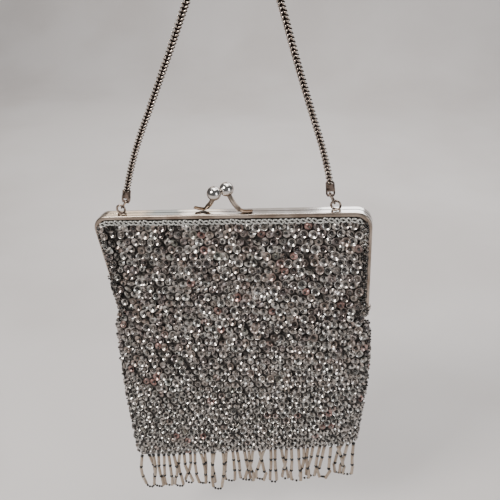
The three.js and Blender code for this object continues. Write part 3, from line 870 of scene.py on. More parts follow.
@dataclass(frozen=True)
class KissLockFrame:
    """The two bent halves of the frame with their lugs, and the rivets that join them.

    Attributes:
        bend: The radius of the strip's bend.
        edge: How far its edges are eased.
        rivet: A rivet head's radius, and shaft its shaft's.
        dome: The height of its dome, and rim the height of the dome's edge.
    """

    purse: Purse
    bend: float = 0.0011
    edge: float = 0.00032
    rivet: float = 0.0023
    shaft: float = 0.0011
    dome: float = 0.0009
    rim: float = 0.0002

    def profile(self, side: Side) -> Array:
        """The bent strip's section: an L of sheet metal with a round bend and eased edges.

        Args:
            side: Which half.

        Returns:
            Points (inset from the outer edge, y) around the section.
        """
        s = self.purse.sizes
        quarter = np.linspace(0, np.pi / 2, 7)
        outer = self.bend * stacked(1 - np.cos(quarter), 1 - np.sin(quarter))
        small = np.linspace(0, np.pi / 2, 4)
        tip = stacked(np.sin(small), 1 - np.cos(small)) * self.edge
        low = tip + [s.lip - self.edge, 0]
        inner_tip = (tip * [1, -1])[::-1] + [s.lip - self.edge, s.sheet]
        depth = s.half_depth - s.half_gap
        rows = [
            np.array([[0.0, depth - self.edge], [0.0, self.bend * 1.5]]),
            outer,
            np.array([[self.bend * 1.6, 0.0]]),
            low,
            inner_tip,
            np.array([[s.sheet * 1.3, s.sheet], [s.sheet, s.sheet * 1.3]]),
            np.array([[s.sheet, depth - self.edge], [s.sheet - self.edge, depth], [self.edge, depth]]),
        ]
        section = np.vstack(rows)
        return stacked(section[:, 0], side.sign * (s.half_depth - section[:, 1]))

    def half(self, side: Side) -> Shape:
        """One half: the section carried round the U, with a rounded lug inside each arm's end.

        Point (i, j) is outline[i] - inset[j] outward[i] in x and z, and y[j].

        Args:
            side: Front or back.

        Returns:
            The half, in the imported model's frame.
        """
        s = self.purse.sizes
        bottom = -(s.arm + s.lug)
        outline, outward = s.outline(bottom)
        section = self.profile(side)
        flat = outline[:, None, :] - section[None, :, :1] * outward[:, None, :]
        depth = np.broadcast_to(section[None, :, 1], flat.shape[:2])
        strip = grid(stacked(flat[..., 0], depth, flat[..., 1]), capped=True)
        # Painted shade: the lip is painted browner and rougher by the wear and shade mark; the arms below
        # the corners are too.
        lip = np.clip((np.abs(depth) - s.half_depth + self.bend) / self.bend * 1.4, 0, 1)
        arm = np.clip((-s.corner * 0.35 - flat[..., 1]) / s.corner, 0, 1)
        strip.marks = {"worn": 0.8 * np.maximum(lip, arm).ravel()}
        shapes = [strip]
        inset = s.sheet + s.clearance if side is Side.BACK else 0.0
        for end in (Side.LEFT, Side.RIGHT):
            shapes.append(self.lug(side, end, inset))
            shapes[-1].marks = {"worn": np.full(len(shapes[-1].points), 0.7)}
        return self.purse.settle(join(shapes), tapered=True)

    def lug(self, side: Side, end: Side, inset: float) -> Shape:
        """A tab at an arm's end that reaches over the rivet: a half disc on a short web.

        Args:
            side: Front or back half.
            end: Left or right arm.
            inset: How far inside the arm's outer face the lug lies.

        Returns:
            A closed plate with eased edges.
        """
        s = self.purse.sizes
        turn = np.linspace(-np.pi / 2, np.pi / 2, 19)
        y = np.concatenate([s.lug * np.cos(turn) * -side.sign, [side.sign * s.half_depth * 0.9] * 2])
        z = np.concatenate([s.lug * np.sin(turn), [s.lug, -s.lug]]) - s.arm
        middle = np.array([side.sign * s.half_depth * 0.3, -s.arm])
        outline = stacked(y, z)
        tight = middle + (outline - middle) * (1 - self.edge / s.lug)
        x_out = s.half_width - inset
        rows = [(tight, x_out), (outline, x_out - self.edge), (outline, x_out - s.sheet + self.edge)]
        rows.append((tight, x_out - s.sheet))
        layers = [stacked(end.sign * x, ring[:, 0], ring[:, 1]) for ring, x in rows]
        return grid(np.stack(layers), capped=True)

    def rivet_shape(self, end: Side) -> Shape:
        """A rivet along x: a shaft between a low dome outside and a flat head inside.

        The dome's ring at angle a has the radius rivet cos(a) and stands rim + dome sin(a) out.

        Args:
            end: Left or right rivet.

        Returns:
            The rivet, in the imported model's frame.
        """
        s = self.purse.sizes
        inside = s.half_width - 3 * s.sheet - s.clearance
        outside = s.half_width + s.clearance
        angle = np.linspace(0, np.pi / 2 - 0.12, 7)
        height = outside + self.rim + self.dome * np.sin(angle)
        head = [(self.rivet * 0.8, inside), (self.rivet, inside + 0.0006), (self.shaft, inside + 0.0008)]
        seat = [(self.shaft, outside), (self.rivet, outside)]
        dome = stacked(self.rivet * np.cos(angle), height)
        shape = turned(np.vstack([head, seat, dome]), 24)
        x, y, z = shape.points.T
        shape.points = stacked(end.sign * z, y, x - s.arm)
        shape.marks = {"worn": np.full(len(shape.points), 0.7)}
        return self.purse.settle(shape.outward(), tapered=True)

    def build(self, nickel: Material) -> None:
        """Add both halves and both rivets.

        Args:
            nickel: Their finish.
        """
        for side in (Side.FRONT, Side.BACK):
            name = f"frame_{side.word}_half"
            add_piece(f"{name}_metal", self.half(side), nickel, Shading.CREASED, (name,))
        for end in (Side.LEFT, Side.RIGHT):
            name = f"hinge_rivet_{end.word}"
            add_piece(f"{name}_metal", self.rivet_shape(end), nickel, Shading.CREASED, (name,))


@dataclass(frozen=True)
class Clasp:
    """Two balls on curved arms that snap past each other.

    Attributes:
        ball: A ball's radius, and height its middle above the top face.
        spread: How far apart the balls are across, and stagger from front to back.
        centre: The clasp's middle across.
        reach: From a ball to the middle of its foot.
        foot: A foot's length, foot_thick its thickness and foot_wide half its width.
        curl: How far the left foot's tip curls up.
        arm: An arm's radius.
    """

    purse: Purse
    ball: float = 0.0049
    height: float = 0.0152
    spread: float = 0.0072
    stagger: float = 0.0068
    centre: float = -0.0017
    reach: float = 0.0125
    foot: float = 0.0105
    foot_thick: float = 0.0014
    foot_wide: float = 0.0021
    curl: float = 0.0014
    arm: float = 0.0017

    def knob(self, end: Side) -> Shape:
        """One arm: a flat foot that bends up into a round arm with a ball on it.

        An ellipse is carried from the foot's tip to the ball, and its width and thickness change on the
        way from a flat tongue to a rod.

        Args:
            end: Left, whose ball is in front, or right, whose ball is behind.

        Returns:
            The knob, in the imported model's frame.
        """
        s, sign = self.purse.sizes, end.sign
        tip = self.centre + sign * (self.spread / 2 + self.reach + self.foot / 2)
        y = -sign * (s.half_gap + (s.half_depth - s.half_gap - s.sheet) / 2)
        top = np.array([self.centre + sign * self.spread / 2, sign * self.stagger / 2, self.height])
        heel_x = tip - sign * self.foot * 0.7
        curl = self.curl if end is Side.LEFT else 0.0
        way = [
            (tip, y, 0.00115 + curl),
            (tip - sign * self.foot * 0.35, y, 0.00105 + 0.35 * curl),
            (heel_x, y, 0.0014),
            (heel_x + 0.38 * (top[0] - heel_x), y + 0.2 * (top[1] - y), 0.0044),
            (heel_x + 0.72 * (top[0] - heel_x), y + 0.6 * (top[1] - y), 0.0089),
            tuple(top),
        ]
        path = spline(way, 64)
        share = np.linspace(0, 1, 64)
        flat, arm = self.foot_thick / 2, self.arm
        steps, foot = [0, 0.015, 0.04, 0.28, 0.42, 1.0], self.foot_wide
        wide = np.interp(share, steps, [0.0014, 0.0018, foot, foot, arm, arm * 0.92])
        steps = [0, 0.015, 0.28, 0.42, 1.0]
        thick = np.interp(share, steps, [flat * 0.8, flat, flat * 1.1, arm, arm * 0.92])
        rod = tube(path, wide, thick, (0.0, 1.0, 0.0), sides=20)
        # Painted shade: the foot is painted darkest, down to the shade colour, and the rod above it browner.
        rod.marks = {"worn": np.repeat(np.interp(share, [0, 0.3, 0.5, 1.0], [1.0, 1.0, 0.8, 0.86]), 20)}
        ball = turned(ball_profile(self.ball, 25), 40)
        # Painted reflection: each ball is painted darker towards its underside, down to the shade colour,
        # for the dark pouch reflected there.
        under = np.clip((-0.15 - ball.points[:, 2] / self.ball) / 0.5, 0, 1)
        ball.marks = {"worn": 0.25 + 0.75 * under}
        ball.points = ball.points + top
        return self.purse.settle(join([rod, ball]))

    def build(self, nickel: Material) -> None:
        """Add both knobs.

        Args:
            nickel: Their finish.
        """
        for end in (Side.LEFT, Side.RIGHT):
            name = f"clasp_knob_{end.word}"
            add_piece(f"{name}_metal", self.knob(end), nickel, Shading.SMOOTH, (name,))


@dataclass(frozen=True)
class ChainHandle:
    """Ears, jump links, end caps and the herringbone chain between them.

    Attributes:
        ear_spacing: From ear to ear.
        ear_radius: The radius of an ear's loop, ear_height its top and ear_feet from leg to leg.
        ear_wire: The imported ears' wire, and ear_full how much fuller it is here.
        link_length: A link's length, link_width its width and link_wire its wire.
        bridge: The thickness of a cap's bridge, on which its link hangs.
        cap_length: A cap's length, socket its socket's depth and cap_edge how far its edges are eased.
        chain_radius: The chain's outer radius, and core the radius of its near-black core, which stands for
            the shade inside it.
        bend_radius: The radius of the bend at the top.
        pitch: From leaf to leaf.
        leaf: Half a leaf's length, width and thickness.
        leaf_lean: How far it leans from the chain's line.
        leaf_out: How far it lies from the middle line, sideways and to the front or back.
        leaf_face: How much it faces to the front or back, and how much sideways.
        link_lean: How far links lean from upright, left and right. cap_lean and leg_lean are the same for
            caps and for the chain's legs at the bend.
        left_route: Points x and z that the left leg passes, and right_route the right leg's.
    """

    purse: Purse
    ear_spacing: float = 0.152
    ear_radius: float = 0.00305
    ear_height: float = 0.0082
    ear_wire: float = 0.0013
    ear_full: float = 1.2
    ear_feet: float = 0.0052
    link_length: float = 0.0092
    link_width: float = 0.0049
    link_wire: float = 0.0012
    bridge: float = 0.0013
    cap_length: float = 0.0092
    cap_edge: float = 0.00022
    socket: float = 0.004
    chain_radius: float = 0.0022
    bend_radius: float = 0.012
    pitch: float = 0.00245
    leaf: tuple[float, float, float] = (0.00166, 0.00052, 0.00078)
    leaf_lean: float = math.radians(40)
    leaf_out: tuple[float, float] = (0.00112, 0.00098)
    leaf_face: tuple[float, float] = (0.9, 0.42)
    core: float = 0.00138
    link_lean: tuple[float, float] = (math.radians(36), math.radians(28))
    cap_lean: tuple[float, float] = (math.radians(11), math.radians(7))
    leg_lean: tuple[float, float] = (math.radians(23.3), math.radians(18))
    left_route: tuple[tuple[float, float], ...] = (
        (-0.0722, -0.1376),
        (-0.0582, -0.1065),
        (-0.0432, -0.0739),
        (-0.0302, -0.0449),
    )
    right_route: tuple[tuple[float, float], ...] = (
        (0.0239, -0.0444),
        (0.0340, -0.0765),
        (0.0435, -0.1050),
        (0.0524, -0.1312),
    )

    def ear(self, end: Side) -> Shape:
        """A wire loop whose two legs cross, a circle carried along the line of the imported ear.

        Args:
            end: Left or right ear.

        Returns:
            The ear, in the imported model's frame.
        """
        s = self.purse.sizes
        foot, rise, step = self.ear_feet / 2, self.ear_height - self.ear_wire / 2, self.ear_wire * 0.62
        r, under = self.ear_radius, -(s.sheet + s.clearance + self.ear_wire / 2)
        half = np.array([
            (foot + self.ear_wire * 1.2, 0.45 * step, under - 0.12 * self.ear_wire),
            (foot + self.ear_wire * 0.25, 0.45 * step, under + 0.22 * self.ear_wire),
            (foot, 0.45 * step, -0.0001),
            (foot * 0.8, 0.6 * step, rise * 0.14),
            (0.0, step, rise - 2.05 * r),
            (-r * 0.8, 0.7 * step, rise - r * 1.65),
            (-r, 0.3 * step, rise - r),
            (-r * 0.72, 0.1 * step, rise - r * 0.3),
        ])
        points = np.vstack([half, [[0.0, 0.0, rise]], half[::-1] * [-1, -1, 1]])
        path = spline(points, 110)
        path += [end.sign * self.ear_spacing / 2, -(s.half_gap + (s.half_depth - s.half_gap) / 2), 0]
        radius = self.ear_wire / 2 * self.ear_full
        shape = tube(path, radius, radius, (0.0, 1.0, 0.02), sides=12)
        shape.marks = {}
        return self.purse.settle(shape)

    def hardware(self, end: Side) -> dict[str, Array]:
        """Where an ear's link and cap hang: the link along its pull, the cap on the link.

        Args:
            end: Left or right end.

        Returns:
            The link's middle and direction, and the cap's bridge and direction.
        """
        side = 0 if end is Side.LEFT else 1
        height = self.ear_height - self.ear_wire / 2 - self.ear_radius
        centre = np.array([[end.sign * self.ear_spacing / 2, 0.0, height]])
        centre = self.purse.hanging.to_row(centre)[0] * [1, 0, 1]
        lean, cap = self.link_lean[side], self.cap_lean[side]
        pull = np.array([-end.sign * math.sin(lean), 0.0, math.cos(lean)])
        up = np.array([-end.sign * math.sin(cap), 0.0, math.cos(cap)])
        wire = centre + pull * self.ear_radius
        slack = self.ear_wire / 2 + self.purse.sizes.clearance
        middle = wire + pull * (self.link_length / 2 - slack - self.link_wire)
        gap = (self.bridge / 2 + self.purse.sizes.clearance + self.link_wire / 2) / math.cos(lean - cap)
        reach = self.link_length - 1.5 * self.link_wire - slack - gap
        return {"middle": middle, "pull": pull, "bridge": wire + pull * reach, "up": up}

    def link(self, end: Side) -> Shape:
        """An oval ring: two half circles of wire joined by short straights, standing across the ear.

        Args:
            end: Left or right link.

        Returns:
            The link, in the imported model's frame.
        """
        held = self.hardware(end)
        turn = 2 * np.pi * (np.arange(40) + 0.5) / 40
        bend = (self.link_width - self.link_wire) / 2
        straight = (self.link_length - self.link_width) / 2
        out_y, out_along = np.cos(turn), np.sin(turn)
        path = held["middle"] + (np.sign(out_along) * straight + bend * out_along)[:, None] * held["pull"]
        path = path + (bend * out_y)[:, None] * np.array([0.0, 1.0, 0.0])
        across = np.cross(held["pull"], [0.0, 1.0, 0.0])
        shape = tube(path, self.link_wire / 2, self.link_wire / 2, across, sides=12, ring=True)
        shape.marks = {}
        return shape

    def line(self) -> Array:
        """The chain's middle line, from the left cap's socket over the bend to the right cap's.

        Returns:
            The points that its spline passes through.
        """
        floor = self.cap_length - self.bridge / 2 - self.socket + self.purse.sizes.clearance
        ends = []
        for end in (Side.LEFT, Side.RIGHT):
            held = self.hardware(end)
            ends.append([held["bridge"] + held["up"] * d for d in (floor, floor + self.socket)])
        angle = np.linspace(math.pi - self.leg_lean[0], self.leg_lean[1], 5)
        bend = stacked(np.cos(angle), 0.0, np.sin(angle)) * self.bend_radius
        bend = bend + [0, 0, self.chain_radius - self.bend_radius]
        routes = (self.left_route, self.right_route)
        left, right = (np.array([(x, 0.0, z) for x, z in route]) for route in routes)
        return np.vstack([ends[0], left, bend, right, ends[1][::-1]])

    def chain(self) -> tuple[Shape, Shape]:
        """The chain: leaf-shaped wire ends that meet in a V down its front and back, round a near-black core
        that stands for the shade inside it.

        Each step holds four leaves, two in front and two behind. Every leaf leans away from the middle by
        the same angle, and the next step's leaves lie half over it.

        Returns:
            The leaves, with the mark height for how far out each point stands, and the core.
        """
        rough = spline(self.line(), 1500)
        length = float(reached(rough)[-1])
        count = int(round(length / self.pitch))
        path = spaced(rough, count)
        ahead = unit(np.gradient(path, axis=0))
        front = np.tile([0.0, -1.0, 0.0], (count, 1))
        side = unit(np.cross(ahead, front))
        leaf = turned(ball_profile(1.0, 6), 7)
        out = leaf.points[:, 1]
        # The mark height is high on each leaf's outward side and low on its inward side, for the painted
        # highlight and shade.
        leaf.marks = {"height": np.clip(0.5 + 0.5 * out, 0, 1)}
        shapes = []
        for across in (-1, 1):
            for face in (-1, 1):
                long = unit(ahead * math.cos(self.leaf_lean) + across * side * math.sin(self.leaf_lean))
                outer = unit(face * front * self.leaf_face[0] + across * side * self.leaf_face[1])
                outer = unit(outer - long * np.sum(outer * long, axis=1, keepdims=True))
                wide = np.cross(outer, long)
                turn = axes(wide, outer, long) * np.array([self.leaf[1], self.leaf[2], self.leaf[0]])
                place = path + across * side * self.leaf_out[0] + face * front * self.leaf_out[1]
                place = place + (0.5 * self.pitch * ahead if face > 0 else 0)
                shapes.append(leaf.copies(turn, place))
        # Painted shade: a near-black tube inside the leaves, so that the gaps between them show dark.
        core = tube(spaced(rough, 240), self.core, self.core * 0.8, (1.0, 0.0, 0.3), sides=10)
        core.marks = {"height": np.full(len(core.points), 0.03)}
        return join(shapes), core

    def cap(self, end: Side, plate: Material) -> None:
        """Add an end cap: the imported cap's own form, its points merged and its edges eased.

        Args:
            end: Left or right cap.
            plate: Its finish.
        """
        name = f"end_cap_{end.word}"
        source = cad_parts[name]
        mesh = source.data.copy()
        mesh.name = f"{name}_metal"
        mesh.materials.clear()
        mesh.materials.append(plate)
        piece = put(f"{name}_metal", mesh)
        weld = piece.modifiers.new("weld", "WELD")
        weld.merge_threshold = 0.00001
        ease = piece.modifiers.new("eased_edges", "BEVEL")
        ease.width = self.cap_edge
        ease.segments = 2
        ease.limit_method = "ANGLE"
        ease.angle_limit = math.radians(32)
        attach(piece, "root")
        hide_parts(name)
        LOG.info("%s: eased copy of the packed cap", piece.name)

    def build(self, pewter: Material, plate: Material, cap_plate: Material) -> None:
        """Add the ears, links, caps and chain.

        Args:
            pewter: The chain's finish.
            plate: The finish of the ears and links.
            cap_plate: The finish of the caps.
        """
        for end in (Side.LEFT, Side.RIGHT):
            ear, link = f"ear_{end.word}", f"jump_link_{end.word}"
            add_piece(f"{ear}_wire", self.ear(end), plate, Shading.SMOOTH, (ear,))
            add_piece(f"{link}_wire", self.link(end), plate, Shading.SMOOTH, (link,))
            self.cap(end, cap_plate)
        leaves, core = self.chain()
        add_piece("chain_links", leaves, pewter, Shading.SMOOTH, ("chain",))
        add_piece("chain_shade_core", core, pewter)


@dataclass(frozen=True)
class PouchForm:
    """The pouch's outer form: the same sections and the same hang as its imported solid.

    Attributes:
        length: From the frame's top face to the bottom seam.
        width: The width that the table's shares are of, and fullness the depth.
        plumb: How much of the frame's lean is taken back below the arms.
        drape_bend: Over what length that sets in.
        twist: How far the bottom is turned, and drop how much lower its left corner hangs.
        table: Columns: share of the length below the mouth, share of the width, share of the fullness,
            and the power that squares the section off.
    """

    purse: Purse
    length: float = 0.235
    width: float = 0.207
    fullness: float = 0.027
    plumb: float = 0.84
    drape_bend: float = 0.003
    twist: float = math.radians(7)
    drop: float = 0.005
    table: tuple[tuple[float, float, float, float], ...] = (
        (0.0, 0.932, 0.36, 7.0),
        (0.16, 0.932, 0.42, 6.0),
        (0.3, 0.955, 0.5, 4.6),
        (0.36, 0.97, 0.56, 4.0),
        (0.42, 0.98, 0.63, 3.6),
        (0.5, 0.985, 0.75, 3.2),
        (0.58, 0.985, 0.85, 3.0),
        (0.68, 0.98, 0.96, 2.8),
        (0.8, 0.967, 1.0, 2.8),
        (0.9, 0.955, 0.84, 2.9),
        (0.965, 0.948, 0.55, 3.0),
        (1.0, 0.944, 0.22, 3.0),
    )

    @property
    def mouth(self) -> float:
        """The mouth's depth below the frame's top face."""
        return self.purse.sizes.lip + self.purse.sizes.clearance

    @property
    def arm_end(self) -> float:
        """The depth at which the arms have ended."""
        s = self.purse.sizes
        return s.arm + s.lug + s.clearance

    def share(self, down: Array) -> Array:
        """The share of the pouch's length at a depth below the frame's top face."""
        return (np.asarray(down, float) - self.mouth) / (self.length - self.mouth)

    def section(self, share: Array) -> tuple[Array, Array, Array]:
        """The table's columns at any share, by cubic pieces whose slopes are those of the neighbours.

        Args:
            share: Shares of the length below the mouth.

        Returns:
            The width's share, the fullness's share and the power at each.
        """
        rows = np.array(self.table)
        down = rows[:, 0]
        last = len(down) - 1
        i = np.clip(np.searchsorted(down, share, side="left") - 1, 0, last - 1)
        gap = down[i + 1] - down[i]
        t = (share - down[i]) / gap
        before, after = np.maximum(i - 1, 0), np.minimum(i + 2, last)
        out = []
        for column in rows[:, 1:].T:
            b, c = column[i], column[i + 1]
            behind = (c - column[before]) / np.maximum(down[i + 1] - down[before], 1e-9) * gap
            first = np.where(i == 0, 0.0, behind)
            ahead = (column[after] - b) / np.maximum(down[after] - down[i], 1e-9) * gap
            second = np.where(after == i + 1, c - b, ahead)
            value = (2 * t**3 - 3 * t**2 + 1) * b + (t**3 - 2 * t**2 + t) * first
            out.append(value + (3 * t**2 - 2 * t**3) * c + (t**3 - t**2) * second)
        return out[0], out[1], out[2]

    def half_width(self, down: Array) -> Array:
        """Half the pouch's width: between the arms above their ends, swelling below them.

        Above, it follows the frame's round corners, sqrt(r^2 - dip^2), and the arms' lean. Below, it goes
        over to the section's width by the smooth step t^2 (3 - 2t).

        Args:
            down: Depths below the frame's top face.

        Returns:
            Half the width at each.
        """
        s = self.purse.sizes
        dip = np.maximum(0, s.corner - down)
        bend = np.sqrt(np.maximum(0, (s.corner - self.mouth) ** 2 - dip**2))
        between = (s.half_width - s.corner + bend - s.clearance) * s.taper(np.minimum(down, s.arm))
        full = self.width / 2 * self.section(self.share(down))[0]
        t = np.clip((down - self.arm_end) / (4 * s.lug), 0, 1)
        return between + (full - between) * t * t * (3 - 2 * t)

    def hang(self, x: Array, y: Array, down: Array) -> Array:
        """Hang points plumb below the arms, drop the left corner and turn the bottom a little.

        Args:
            x: Across, before hanging.
            y: To the back.
            down: Depth below the frame's top face.

        Returns:
            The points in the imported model's frame.
        """
        s, tilt = self.purse.sizes, self.purse.hanging.tilt
        free = np.maximum(0, down - s.arm)
        share = np.minimum(1, free / (self.length - s.arm))
        ease = share**1.3
        eased = free - self.drape_bend * (1 - np.exp(-free / self.drape_bend))
        turned_y = y + x * math.tan(self.twist) * ease
        low = down - self.drop * ease * x / (self.width / 2)
        plumb_x = x - self.plumb * math.tan(tilt) * eased
        return self.purse.hanging.to_row(stacked(plumb_x, turned_y, -low))

    def flat(
        self, down: Array, angle: Array, out: tuple[Number, Number] = (0.0, 0.0)
    ) -> tuple[Array, Array]:
        """A point of the section at each depth, before hanging: a superellipse, moved out along x and y.

        x is half_width cos(a) / n and y is half_depth sin(a) / n, where n is |cos(a)|^power plus
        |sin(a)|^power, to the power 1 / power.

        Args:
            down: Depths below the frame's top face.
            angle: Angles round the section, 0 at the right end and pi at the left.
            out: How far outside the surface along x and along y, or inside where it is negative.

        Returns:
            The x and y of each point.
        """
        _, depth, power = self.section(self.share(down))
        half = self.half_width(down) + out[0]
        deep = np.maximum(0.00035, self.fullness / 2 * depth + out[1])
        cos, sin = np.cos(angle), np.sin(angle)
        size = (np.abs(cos) ** power + np.abs(sin) ** power) ** (1 / power)
        return half * cos / size, deep * sin / size

    def point(self, down: Array, angle: Array, out: tuple[Number, Number] = (0.0, 0.0)) -> Array:
        """A point of the hanging surface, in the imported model's frame, with the arguments of flat."""
        x, y = self.flat(down, angle, out)
        return self.hang(x, y, down + 0 * x)

    def near_edge(self, down: Array, inset: float) -> Array:
        """The angle of the front's point that lies a distance in from the right end, at each depth.

        Where c is the share of the half width that is left, tan(a) is -(c^-power - 1)^(1 / power).

        Args:
            down: Depths below the frame's top face.
            inset: The distance in from the right end.

        Returns:
            The angles.
        """
        _, _, power = self.section(self.share(down))
        part = np.clip(1 - inset / self.half_width(down), 0.01, 0.9999)
        return -np.arctan((part**-power - 1) ** (1 / power))

    def level(self, down: float, count: int, shift: float) -> Array:
        """Angles of evenly spaced points round the section at one depth.

        Args:
            down: The depth.
            count: How many points.
            shift: How far round they start, in steps.

        Returns:
            The angles, at equal steps of length from the left end.
        """
        angle = np.linspace(-np.pi, np.pi, 1441)
        loop = self.point(np.full_like(angle, down), angle)
        length = reached(loop)
        target = (np.arange(count) + shift) / count * length[-1]
        return np.interp(target, length, angle)

    def stand(self, down: Array, angle: Array) -> tuple[Array, Array, Array]:
        """The surface's own directions at points, from small steps along it.

        Args:
            down: Depths.
            angle: Angles.

        Returns:
            The directions across, up the surface and outwards.
        """
        small = 1e-3
        across = self.point(down, angle + small) - self.point(down, angle - small)
        rise = self.point(down - small * 0.5, angle) - self.point(down + small * 0.5, angle)
        across, rise = unit(across), unit(rise)
        out = unit(np.cross(across, rise))
        return across, unit(np.cross(out, across)), out


@dataclass(frozen=True)
class SequinCloth:
    """The pouch: a crocheted shell with rows of cupped sequins, each held by a seed bead.

    Attributes:
        wall: The shell's thickness.
        columns: Sequins in one row all round.
        row_pitch: The distance from row to row.
        sequin: A sequin's radius, cup its depth and foil its thickness.
        seed: A seed bead's radius, border_seed that of those at the sides and border_step their spacing.
        first_row: The first row's depth below the frame's top face.
        inset_left: How far the left side draws in below the arms, and inset_right the right side.
        shoulder: How much more the right side draws in just under the arm.
        tuck: How far the cloth reaches into the arms' channels.
        left_margin: How far from the left arm the sequins start, and right_margin from the right arm.
        over_lip: How far in front of the lips the sequins beside the arms lie.
        overhang: How far the lowest of those lie out over the arm, from left_from and right_from down.
        arm_reach: How near to the arms that is, and edge_reach for the overhang.
        draw_above: How far above the arms' ends the sides start to draw in, over the distance draw_span.
        shoulder_span: How far below the arms' ends the shoulder fades out.
        face_inset: How far inside the solid's faces the sequins' ground lies, and ground_under the shell
            inside that.
        domes: The share of sequins that lie face down.
        tip_up: The sequins' usual tilt, lean its spread and most_lean its limit.
        low_from: The depth from which they change towards the bottom, over the distance low_span.
        low_tip: How much more they tilt there, low_shrink how much smaller and low_pale how much paler.
        stray: How far sequins stray from their places, uneven how much their sizes vary and seed_stray
            how far beads stray from their middles.
        pale_tint: The tint that the paler ones go over to. Those from rosy_from up keep theirs.
        arm_insets: How far from the arms the columns of beads lie, lip_reaches how far out over the left
            arm and seam_lifts how far off the side seams.
    """

    purse: Purse
    form: PouchForm
    wall: float = 0.0018
    columns: int = 66
    row_pitch: float = 0.00575
    sequin: float = 0.0031
    cup: float = 0.0014
    foil: float = 0.00012
    seed: float = 0.00115
    border_seed: float = 0.0009
    border_step: float = 0.0019
    first_row: float = 0.0098
    inset_left: float = 0.0003
    inset_right: float = 0.0022
    shoulder: float = 0.003
    tuck: float = 0.0012
    ground_under: float = 0.0008
    face_inset: float = 0.0008
    left_margin: float = 0.0006
    overhang: float = 0.0022
    right_margin: float = 0.0052
    over_lip: float = 0.0011
    draw_above: float = 0.006
    draw_span: float = 0.01
    shoulder_span: float = 0.085
    seam_gap: float = 0.0025
    left_from: float = 0.046
    right_from: float = 0.07
    arm_reach: float = 0.007
    edge_reach: float = 0.005
    domes: float = 0.3
    tip_up: float = math.radians(6)
    lean: float = math.radians(12)
    most_lean: float = math.radians(25)
    low_from: float = 0.11
    low_span: float = 0.07
    low_tip: float = math.radians(15)
    low_shrink: float = 0.12
    low_pale: float = 0.75
    stray: float = 0.0004
    stand_off: float = 0.0003
    uneven: float = 0.05
    pale_tint: float = 0.74
    rosy_from: float = 0.9
    seed_stray: float = 0.00025
    seed_up: float = 0.0009
    arm_insets: tuple[float, ...] = (0.0001, 0.0016, 0.0031, 0.0046)
    seam_lifts: tuple[float, ...] = (0.0002, 0.0010, 0.0006, 0.0016)
    seam_step: float = 0.0017
    lip_reaches: tuple[float, ...] = (0.0010, 0.0024, 0.0038)
    lip_step: float = 0.0016
    random_seed: int = 11

    def inset_at(self, down: Array, angle: Array, under: float = 0.0) -> tuple[Array, float]:
        """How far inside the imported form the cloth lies.

        Between the arms it is tucked a little into their channels. Below them its right side draws in by
        a smooth step, most of all just under the arm.

        Args:
            down: Depths below the frame's top face.
            angle: Angles round the section.
            under: How much further in to go.

        Returns:
            The insets along x and along y, below zero.
        """
        t = np.clip((down - self.form.arm_end + self.draw_above) / self.draw_span, 0, 1)
        step = t * t * (3 - 2 * t)
        fade = np.clip(1 - (down - self.form.arm_end) / self.shoulder_span, 0, 1) ** 1.5
        right = 0.5 + 0.5 * np.cos(angle)
        drawn = (self.inset_left + (self.inset_right + self.shoulder * fade) * right + self.tuck) * step
        return self.tuck - drawn - under, -self.face_inset - under

    def ground(self) -> Shape:
        """The crocheted shell: its inner wall, the rim of the mouth and its outer wall in one grid.

        Returns:
            The closed shell.
        """
        f = self.form
        share = np.concatenate([np.linspace(0, 0.33, 14, endpoint=False), np.linspace(0.33, 1.0, 44)])
        down = f.mouth + share * (f.length - f.mouth)
        angle = 2 * np.pi * np.arange(128) / 128
        outer_inset = self.inset_at(down[:, None], angle[None], self.ground_under)
        outer = f.point(down[:, None], angle[None], outer_inset)
        low = np.minimum(down, f.mouth + 0.955 * (f.length - f.mouth))
        inner_inset = self.inset_at(low[:, None], angle[None], self.ground_under + self.wall)
        inner = f.point(low[:, None], angle[None], inner_inset)
        keep = np.concatenate([[True], np.diff(low) > 1e-6])
        return grid(np.concatenate([inner[keep][::-1], outer]), capped=True)

    def cup_shape(self) -> Shape:
        """One sequin: a cup that rises in twelve facets from a small hole to a narrow flat rim.

        Its rings are a profile turned about z: hole, wall, both edges of the rim, and the thin back.

        Returns:
            The sequin, with its hole at the origin.
        """
        r, h = self.sequin, self.cup
        inner = [(0.26 * r, 0.0), (0.66 * r, 0.32 * h), (0.93 * r, 0.93 * h)]
        profile = np.array([*inner, (r, 0.97 * h), (0.62 * r, -self.foil)])
        return grid(lathe(profile, 2 * np.pi * (np.arange(12) + 0.5) / 12), ring=True)

    def seed_shape(self, radius: float) -> Shape:
        """One seed bead: a squashed ball of few faces."""
        return turned(ball_profile(radius, 4, 0.86), 7)

    def spots(self) -> tuple[Array, Array]:
        """Depth and angle of every sequin: staggered rows all round, but none behind the arms.

        Returns:
            The depths and the angles.
        """
        f = self.form
        count = int((f.length - self.seam_gap - self.first_row) / self.row_pitch) + 1
        downs, angles = [], []
        for row in range(count):
            down = self.first_row + row * self.row_pitch
            angle = f.level(down, self.columns, 0.5 * (row % 2))
            if down < f.arm_end + 0.002:
                x, y = f.flat(np.full_like(angle, down), angle)
                half = f.half_width(np.array(down))
                right = self.right_margin * np.clip((self.purse.sizes.arm - down) / 0.012, 0.2, 1)
                margin = np.where(x * np.sign(-y) > 0, right, self.left_margin)
                angle = angle[np.abs(x) < half - margin]
            downs.append(np.full(len(angle), down))
            angles.append(angle)
        return np.concatenate(downs), np.concatenate(angles)

